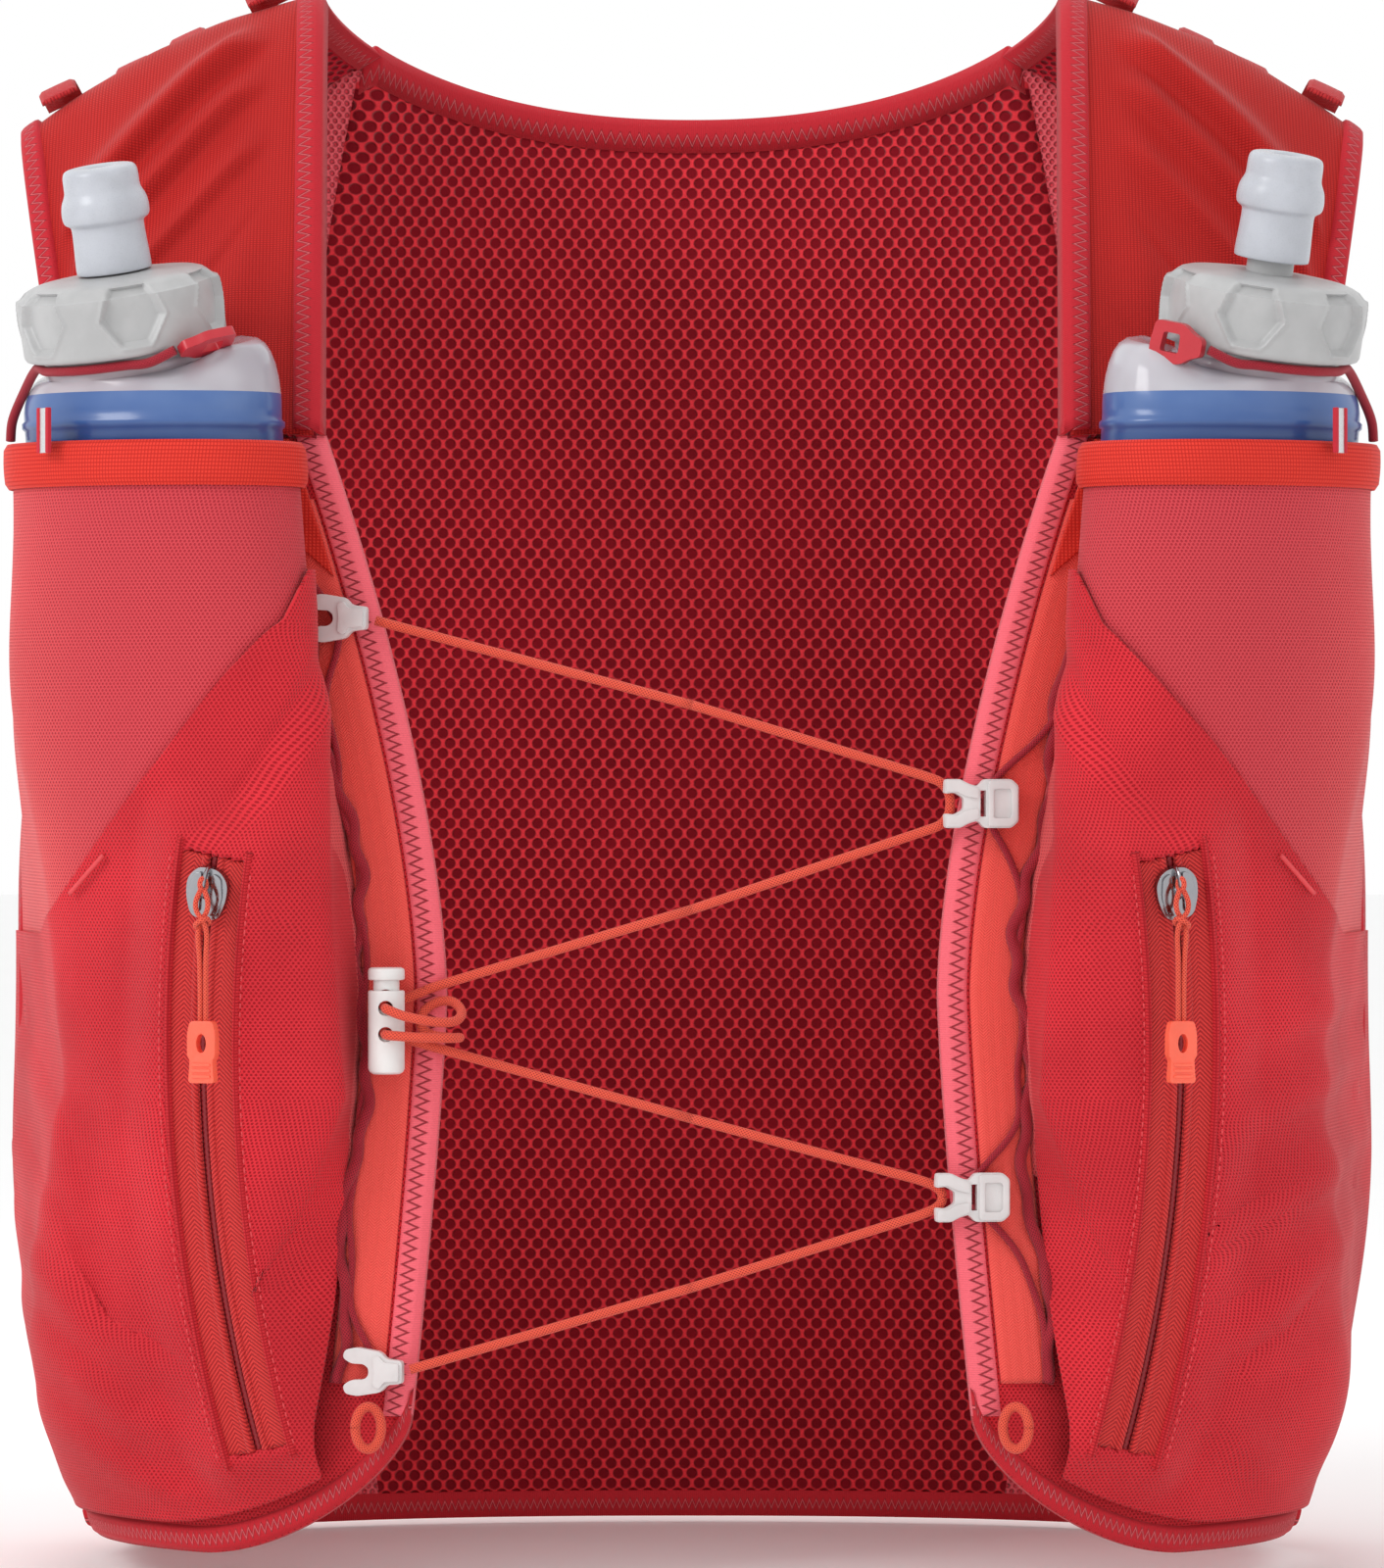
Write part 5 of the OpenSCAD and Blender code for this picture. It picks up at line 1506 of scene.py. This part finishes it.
def make_bungee():
    runs = [
        ("upper_start", [FORK_UP, UPPER_MID], "hook_upper_right", "vest"),
        ("upper_out", [UPPER_MID] + UPPER_BIGHT[:4], "vest", "hook_upper_left"),
        ("upper_in", UPPER_BIGHT[3:] + [UPPER_BACK], "hook_upper_left", "vest"),
        ("middle", [UPPER_BACK] + LOCK_ROUTE + [LOWER_MID], None, None),
        ("lower_out", [LOWER_MID] + LOWER_BIGHT[:4], "vest", "hook_lower_left"),
        ("lower_in", LOWER_BIGHT[3:] + [LOWER_BACK], "hook_lower_left", "vest"),
        ("lower_end", [LOWER_BACK, FORK_DOWN], "vest", "hook_lower_right")]
    for name, route, a, b in runs:
        route = [Vector(p) for p in route]
        dense = bungee_line(route, a)
        obj = tube("bungee_" + name, dense, BUNGEE_D, sides=14)
        if a:
            start, end = blend_ends(a, route, dense)
            tuple(world(start))
            tuple(world(end))
            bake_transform(obj)
        finish(obj, CORAL_CORD, None if a else "vest", ["chest_bungee"])


def bore(obj, z, d):
    """Cuts the cord's hole through a part of the lock, from front to back."""
    tool = tube("bore", [(LOCK_X, LOCK_Y - 8, z), (LOCK_X, LOCK_Y + 8, z)], d, sides=28)
    boolean = obj.modifiers.new("cut", "BOOLEAN")
    boolean.object = tool
    boolean.solver = "EXACT"
    with bpy.context.temp_override(object=obj, active_object=obj):
        bpy.ops.object.modifier_apply(modifier=boolean.name)
    bpy.data.objects.remove(tool)


def make_lock():
    place = placed(Matrix.Translation((LOCK_X, LOCK_Y, 0)), 1)
    r, foot, top = LOCK_D / 2, LOCK_FOOT, LOCK_FOOT + LOCK_H
    barrel = lathe("lock_barrel", [(0, foot + 1.5), (3.35, foot + 1.5), (3.35, top - 0.3), (3.7, top),
                                   (r - 0.4, top), (r - 0.1, top - 0.15), (r, top - 0.5), (r, foot + 1.4),
                                   (r - 0.4, foot + 0.5), (r - 1.3, foot), (0, foot)], place, 72)
    for z in (HOLE_LOW, HOLE_HIGH):
        bore(barrel, z, 3.7)
    finish(barrel, LOCK, nodes=["cord_lock_barrel"], angle=35)
    head = top + LOCK_GAP + 0.1
    plunger = lathe("lock_plunger", [(0, HOLE_LOW - 3), (3.2, HOLE_LOW - 3), (3.2, head), (r - 0.5, head),
                                     (r - 0.1, head + 0.2), (r, head + 0.6), (r, head + 2.3),
                                     (r - 0.2, head + 2.8), (r - 0.8, head + 3.1),
                                     (0, head + 3.1)], place, 72)
    for z in (HOLE_LOW + 0.8, HOLE_HIGH + 1.0, HOLE_HIGH + 2.6):
        bore(plunger, z, 4.0)
    finish(plunger, LOCK, "plunger", ["cord_lock_plunger"], 35)
    rest, ends = foot + 1.5, HOLE_LOW - 3 - 0.05
    steps = 12 * SPRING_TURNS
    coil = [(LOCK_X + SPRING_R * cos_d(30 * k), LOCK_Y + SPRING_R * sin_d(30 * k),
             mix(rest + SPRING_WIRE / 2, ends - SPRING_WIRE / 2, k / steps)) for k in range(steps + 1)]
    spring = finish(tube("lock_spring", coil, SPRING_WIRE, sides=8), STEEL, nodes=["cord_lock_spring"])
    tuple(world((LOCK_X, LOCK_Y, rest)))
    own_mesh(spring)


# ---------- flasks ----------
def flask_ring(s, wide, deep, sides=72):
    """A ring of points round the flask, s millimetres above the rim."""
    return [ellipse_at(flask_centre(RIM_Z + s), flask_p(s) * wide, flask_q(s) * deep, 360 * k / sides)
            for k in range(sides)]


def neck_ring(r, h, sides=72):
    """A ring of points round the neck's axis."""
    return [NECK_FRAME @ Vector((r * cos_d(360 * k / sides + FLASK_TURN),
                                 r * sin_d(360 * k / sides + FLASK_TURN), h))
            for k in range(sides)]


def loft(name, rings, sign):
    """A closed skin through rings of equal length."""
    n = len(rings[0])
    verts = [world(p, sign) for ring in rings for p in ring]
    faces = [(i * n + k, i * n + (k + 1) % n, (i + 1) * n + (k + 1) % n, (i + 1) * n + k)
             for i in range(len(rings) - 1) for k in range(n)]
    faces += [tuple(range(n))[::-1], tuple(range((len(rings) - 1) * n, len(rings) * n))]
    return weld(make_object(name, verts, faces))


def shoulder_point(p, q, turn):
    """A point of the shoulder from p on the body to q on the neck, which bulges up on the inner side."""
    inner = smooth((FLASK_POS[0] - 12 - p[0]) / 16)
    flat, rise = 1 - cos_d(turn), sin_d(turn) ** mix(0.9, 0.6, inner)
    bulge = 6.5 * inner * max(0, sin_d(2 * turn)) ** 1.5
    return Vector((mix(p[0], q[0], flat), mix(p[1], q[1], flat), mix(p[2], q[2], rise) + bulge))


def turn_at(p, q, z):
    """The turn at which the shoulder from p to q reaches the height z."""
    low, high = 0.0, 45.0
    for _ in range(16):
        middle = (low + high) / 2
        low, high = (middle, high) if shoulder_point(p, q, middle)[2] < z else (low, middle)
    return low


def flask_rings():
    """The film's rings from its foot to the neck, with a moulded ridge, and how many are wet."""
    rings = [flask_ring(h - FLASK_LEN, wide, deep)
             for h, wide, deep in ((0, 0.55, 0.4), (1.5, 0.78, 0.66), (4, 0.92, 0.86), (9, 1, 1))]
    rings += [flask_ring(s, 1, 1) for s in range(-146, -1, 12)]
    for s, grown in ((1.5, 1), (RIDGE_Z - RIM_Z - 1.2, 1), (RIDGE_Z - RIM_Z - 0.6, 1.02),
                     (RIDGE_Z - RIM_Z + 0.6, 1.02),
                     (RIDGE_Z - RIM_Z + 1.2, 1)):
        rings.append(flask_ring(s, grown, grown))
    foot, neck = flask_ring(RIDGE_Z - RIM_Z + 2, 1, 1), neck_ring(NECK_D / 2 - 0.3, NECK_FOOT)
    pairs = list(zip(foot, neck))
    level = [turn_at(p, q, LIQUID_Z) for p, q in pairs]
    rings += [[shoulder_point(p, q, a * k / 5) for (p, q), a in zip(pairs, level)] for k in range(1, 6)]
    wet = len(rings)
    rings += [[shoulder_point(p, q, mix(a, 90, k / 10)) for (p, q), a in zip(pairs, level)]
              for k in range(1, 11)]
    rings.append(neck_ring(NECK_D / 2 - 0.3, NECK_FOOT + 1.2))
    rings.append(neck_ring(NECK_D / 2 - 1, NECK_FOOT + 2.5))
    return rings, wet


def make_flasks():
    rings, wet = flask_rings()
    level = rings[wet - 1]
    middle = sum(level, Vector()) / len(level)
    for side, sign in SIDES:
        film = loft("flask_film_" + side, rings, sign)
        film.data.materials.append(FILM)
        film.data.materials.append(WATER)
        for face in film.data.polygons:
            lowest = min(film.data.vertices[k].co[2] for k in face.vertices)
            face.material_index = int(lowest < in_frame(LIQUID_Z - 0.01) * MM)
        finish(film, None, "flask_" + side, ["flask_body_" + side])
        top = [[middle.lerp(p, k) for p in level] for k in (0.985, 0.5, 0.02)]
        base = [[Vector((p[0], p[1], p[2] - 0.6)) for p in ring] for ring in top]
        water = loft("flask_water_" + side, base[::-1] + top, sign)
        finish(water, WATER, "flask_" + side, ["flask_body_" + side])
        neck = placed(NECK_FRAME, sign)
        thread = [(20.4 * cos_d(6 * k), 20.4 * sin_d(6 * k), 4 + 0.075 * k) for k in range(121)]
        tube_part = lathe("neck", [(0, -0.6), (20.2, -0.6), (20.2, 14.4), (19.8, 14.9), (18.6, 15),
                                   (18.6, -0.4)], neck, 72)
        spiral = tube_in(thread, 1.2, neck, 8)
        finish(join("flask_neck_" + side, [tube_part, spiral]), CAP, "flask_" + side,
               ["flask_body_" + side], 40)
        seal = frame["nodes"]["flask_seal_" + side]
        for k in range(len(seal.material_slots)):
            seal.material_slots[k].material = SEAL
        make_cap(side, neck)
        make_valve(side, neck, 3 if sign > 0 else 0)


CAP_TOP = CAP_FOOT + CAP_H


def cap_grips(r, h, a):
    """Recessed grips round the cap's side, narrow at the foot, widest at mid height and open at the top."""
    if r < 21.9 or h > CAP_TOP - 0.8:
        return r, h
    offset = abs(((a + 10) % 60) - 30) * math.pi / 180 * CAP_D / 2
    low, belly = CAP_FOOT + 2.6, CAP_FOOT + 9.5
    half = mix(3.4, 8.2, clamp01((h - low)
                                 / (belly - low))) if h < belly else mix(8.2, 5.6, clamp01((h - belly) / 7))
    cut = clamp01((half - offset) / 0.9) * clamp01((h - low) / 1.3)
    bead = math.exp(-((offset - half - 0.55) / 0.5) ** 2) * clamp01((h - low + 0.6) / 1.2)
    under = math.exp(-((h - low + 0.3) / 0.5) ** 2) * clamp01((half + 0.9 - offset) / 0.6)
    return r - 1.7 * cut + 0.5 * max(bead, under), h


def make_cap(side, neck):
    foot, r = CAP_FOOT, CAP_D / 2
    wall = [(22.0, 17.3), (22.0, foot + 0.3), (22.5, foot), (r - 1.6, foot), (r - 0.9, foot + 0.3),
            (r - 0.55, foot + 0.9)]
    heights = [foot + 1.4 + 0.36 * k for k in range(38)]
    wall += [(r - 0.45 - 0.5 * smooth((h - CAP_TOP + 6) / 6), h) for h in heights]
    dome = [(r - 1.7, CAP_TOP - 3.2), (r - 3.0, CAP_TOP - 1.9), (r - 3.9, CAP_TOP - 1.2),
            (r - 5.2, CAP_TOP - 0.75), (17, CAP_TOP - 0.35), (12, CAP_TOP), (9.4, CAP_TOP + 0.3),
            (5.8, CAP_TOP + 0.4), (5.5, CAP_TOP + 19.6), (4.8, CAP_TOP + 20), (3.1, CAP_TOP + 20),
            (3.0, 18)]
    cap = lathe("flask_cap_" + side, [(3.0, 17.3)] + wall + dome, neck, 360, cap_grips)
    finish(cap, CAP, "cap_" + side, ["flask_cap_" + side], 50)


def make_valve(side, neck, raised):
    base = CAP_TOP + 0.8 + raised
    outline = [(5.7, 0.2), (8.6, 0), (9.2, 0.4), (9.2, 3), (9.0, 7), (8.9, 11), (9.3, 12.0), (10.3, 12.7),
               (10.7, 13.8), (10.75, 15.5), (10.4, 17.6), (9.7, 19.2), (9.35, 20.3), (9.3, 22), (9.2, 24.2),
               (8.6, 25.4), (7.2, 25.9), (5.0, 26), (3.7, 25.7), (3.1, 25), (2.6, 22.5), (5.6, 21.5),
               (5.6, 0.5)]
    rounded = spline([(r, h, 0) for r, h in outline], 3)
    valve = lathe("bite_valve_" + side, [(p[0], p[1]) for p in rounded],
                  lambda p: neck((p[0], p[1], p[2] + base)), 72)
    finish(valve, VALVE, "valve_" + side, ["bite_valve_" + side], 60)


# ---------- flask retainers and rim loops ----------
TAB_AT = (28.2, -118, 2.2)
CORD_H = -0.1


def neck_point(r, a, h):
    return NECK_FRAME @ Vector((r * cos_d(a), r * sin_d(a), h))


def make_rim_loop(side, sign):
    """A reflective strip between two woven edges, in front of the pocket's rim."""
    place = placed(turn_matrix(Vector((157, -115.8, 277.4)), 0, 0, 52), sign)
    edge = []
    for x in (-1.9, 1.9):
        outline = round_corners([(x - 0.6, -5.4), (x + 0.6, -5.4), (x + 0.6, 5.6), (x - 0.6, 5.6)], 0.3, 2)
        edge.append(plate("edge", outline, 1.0, place, 0.25))
    finish(join("reflective_edge_" + side, edge), BINDING_PLAIN, nodes=["reflective_loops"])
    outline = [(-1.4, -5.4), (1.4, -5.4), (1.4, 5.5), (-1.4, 5.5)]
    strip = plate("reflective_strip_" + side, outline, 0.8, place, 0.15)
    finish(strip, REFLECTIVE, nodes=["reflective_loops"])


def make_retainers():
    route = [(168, -87, 276.2), (167.4, -88.6, 281), (164.8, -92.4, 286.6)]
    route += [neck_point(22.8, a, CORD_H) for a in range(-12, -93, -20)]
    route += [neck_point(24.8, -105, CORD_H), neck_point(*TAB_AT)]
    tab_frame = Matrix.Translation(neck_point(*TAB_AT)) @ turn_matrix(Vector(), *NECK_LEAN)
    tab_frame = tab_frame @ Matrix.Rotation(math.radians(148), 4, "Z")
    hang = Matrix.Translation((8.5, 1.2, 0))
    for side, sign in SIDES:
        cord = tube("retainer_cord_" + side, spline(route, 6), 2.4, sign, 14)
        tuple(world(route[0], sign))
        tuple(world(route[2], sign))
        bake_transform(cord)
        finish(cord, DARK_CORD, None, ["retainer_cord_" + side])
        roll = Matrix.Rotation(math.radians(-60 if sign < 0 else 0), 4, "X")
        place = placed(tab_frame @ roll @ hang, sign)
        outline = round_corners([(-7, -2.2), (-4.2, -3), (-1.5, -5), (7, -5), (7.4, -1), (6.4, 5),
                                 (-1.5, 5), (-4.2, 3), (-7, 2.2)], 1.3, 4)
        slot = round_corners([(-0.8, -2.4), (4.4, -2.4), (3.9, 2.4), (-0.8, 2.4)], 0.8, 4)
        tab = plate("retainer_tab_" + side, outline, 2.4, place, 0.6, holes=(slot,))
        finish(tab, TAB, "flask_" + side, ["retainer_tab_" + side], 40)
        make_rim_loop(side, sign)


# ---------- loops of webbing and cord ----------
LOOP_SEATS = [(0.04, 0.16), (0.3, 0.42), (0.3, 0.6), (0.04, 0.84)]


def arched(a, b, angle):
    """A point of a loop that arches over its two seams: across, out of its skin and degrees along."""
    return Vector(((14 + b) * sin_d(angle), a, (14 + b) * cos_d(angle) - 14 * cos_d(40)))


def make_loops():
    for side, sign in SIDES:
        loops = []
        for s, w in LOOP_SEATS:
            seat = Matrix.Translation(strap(s, w, YOKE_OFF + 2 * CLOTH))
            frame_at = seat @ turn_matrix(Vector(), -20 * s, 25) @ Matrix.Rotation(math.radians(90), 4, "Z")
            profile = strip_profile(-5, 5, 0, 1.3, 0.1, 10)
            loops.append(weld(sweep("loop", lambda t, a, b: frame_at @ arched(a, b, mix(-40, 40, t)),
                                    profile, 30, sign)))
        finish(join("shoulder_loops_" + side, loops), TAB_WEBBING, nodes=["shoulder_loops"])
        ring = [(79.5 + 4.2 * math.cos(2 * math.pi * k / 30) * 0.75,
                 -95.4 - 0.8 * math.cos(2 * math.pi * k / 30),
                 33 + 5.2 * math.sin(2 * math.pi * k / 30) + 0.5) for k in range(31)]
        finish(tube("hem_loop_" + side, ring, 2.5, sign, 12), CORAL_CORD, nodes=["hem_loops"])
    hang = [(9 * cos_d(a), 101.6 + 1.2 * sin_d(a), 359 + 9 * sin_d(a)) for a in range(0, 181, 10)]
    finish(tube("hang_loop", hang, 3, 1, 12), WEBBING, nodes=["hang_loop"])


# ---------- camera, light and floor ----------
# The camera's distance in metres, its height above the hem, and its lens and sensor in millimetres
EYE_AWAY, EYE_Z, LENS, SENSOR_H = 2.0, 191.6, 178.1, 36
# Each lamp's name, place and size in metres, and power in watts
LAMPS = (("key", (-1.6, -1.2, 0.9), 0.8, 15), ("fill", (1.5, -1.4, -0.1), 1.2, 1.2),
         ("top", (-0.3, 0.2, 1.5), 0.9, 2))


def make_stage():
    scene = bpy.context.scene
    camera = bpy.data.cameras.new("camera")
    camera.sensor_fit = "VERTICAL"
    camera.sensor_height = SENSOR_H
    camera.lens = LENS
    eye = shown("camera", camera)
    eye.location = (0, -EYE_AWAY, in_frame(EYE_Z) * MM)
    eye.rotation_euler = (math.radians(90), 0, 0)
    scene.camera = eye
    floor_mesh = bpy.data.meshes.new("floor")
    z, w = cad_box[0][2] - 0.002, 12
    floor_mesh.from_pydata([(-w, -w, z), (w, -w, z), (w, w, z), (-w, w, z)], [], [(0, 1, 2, 3)])
    floor = shown("floor", floor_mesh)
    look = Look("pale_floor", 0.9)
    look.colour(look.blend(look.noise(400, 2), (0.93, 0.93, 0.93), (0.95, 0.95, 0.95)))
    floor.data.materials.append(look.mat)
    world_light = bpy.data.worlds.new("studio")
    world_light.use_nodes = True
    background = world_light.node_tree.nodes["Background"]
    background.inputs[0].default_value = (1, 1, 1, 1)
    background.inputs[1].default_value = 1.0
    scene.world = world_light
    scene.view_settings.view_transform = "Standard"
    for name, spot, size, power in LAMPS:
        lamp = bpy.data.lights.new(name, "AREA")
        lamp.size, lamp.energy = size, power
        obj = shown(name, lamp)
        obj.location = spot
        obj.rotation_euler = (Vector((0, 0, -0.2)) - Vector(spot)).to_track_quat("-Z", "Y").to_euler()


make_stage()
make_back()
make_straps()
make_bindings()
make_pockets()
make_rails()
make_zips()
make_sliders()
make_back_zip()
make_hooks()
make_bungee()
make_lock()
make_flasks()
make_retainers()
make_loops()
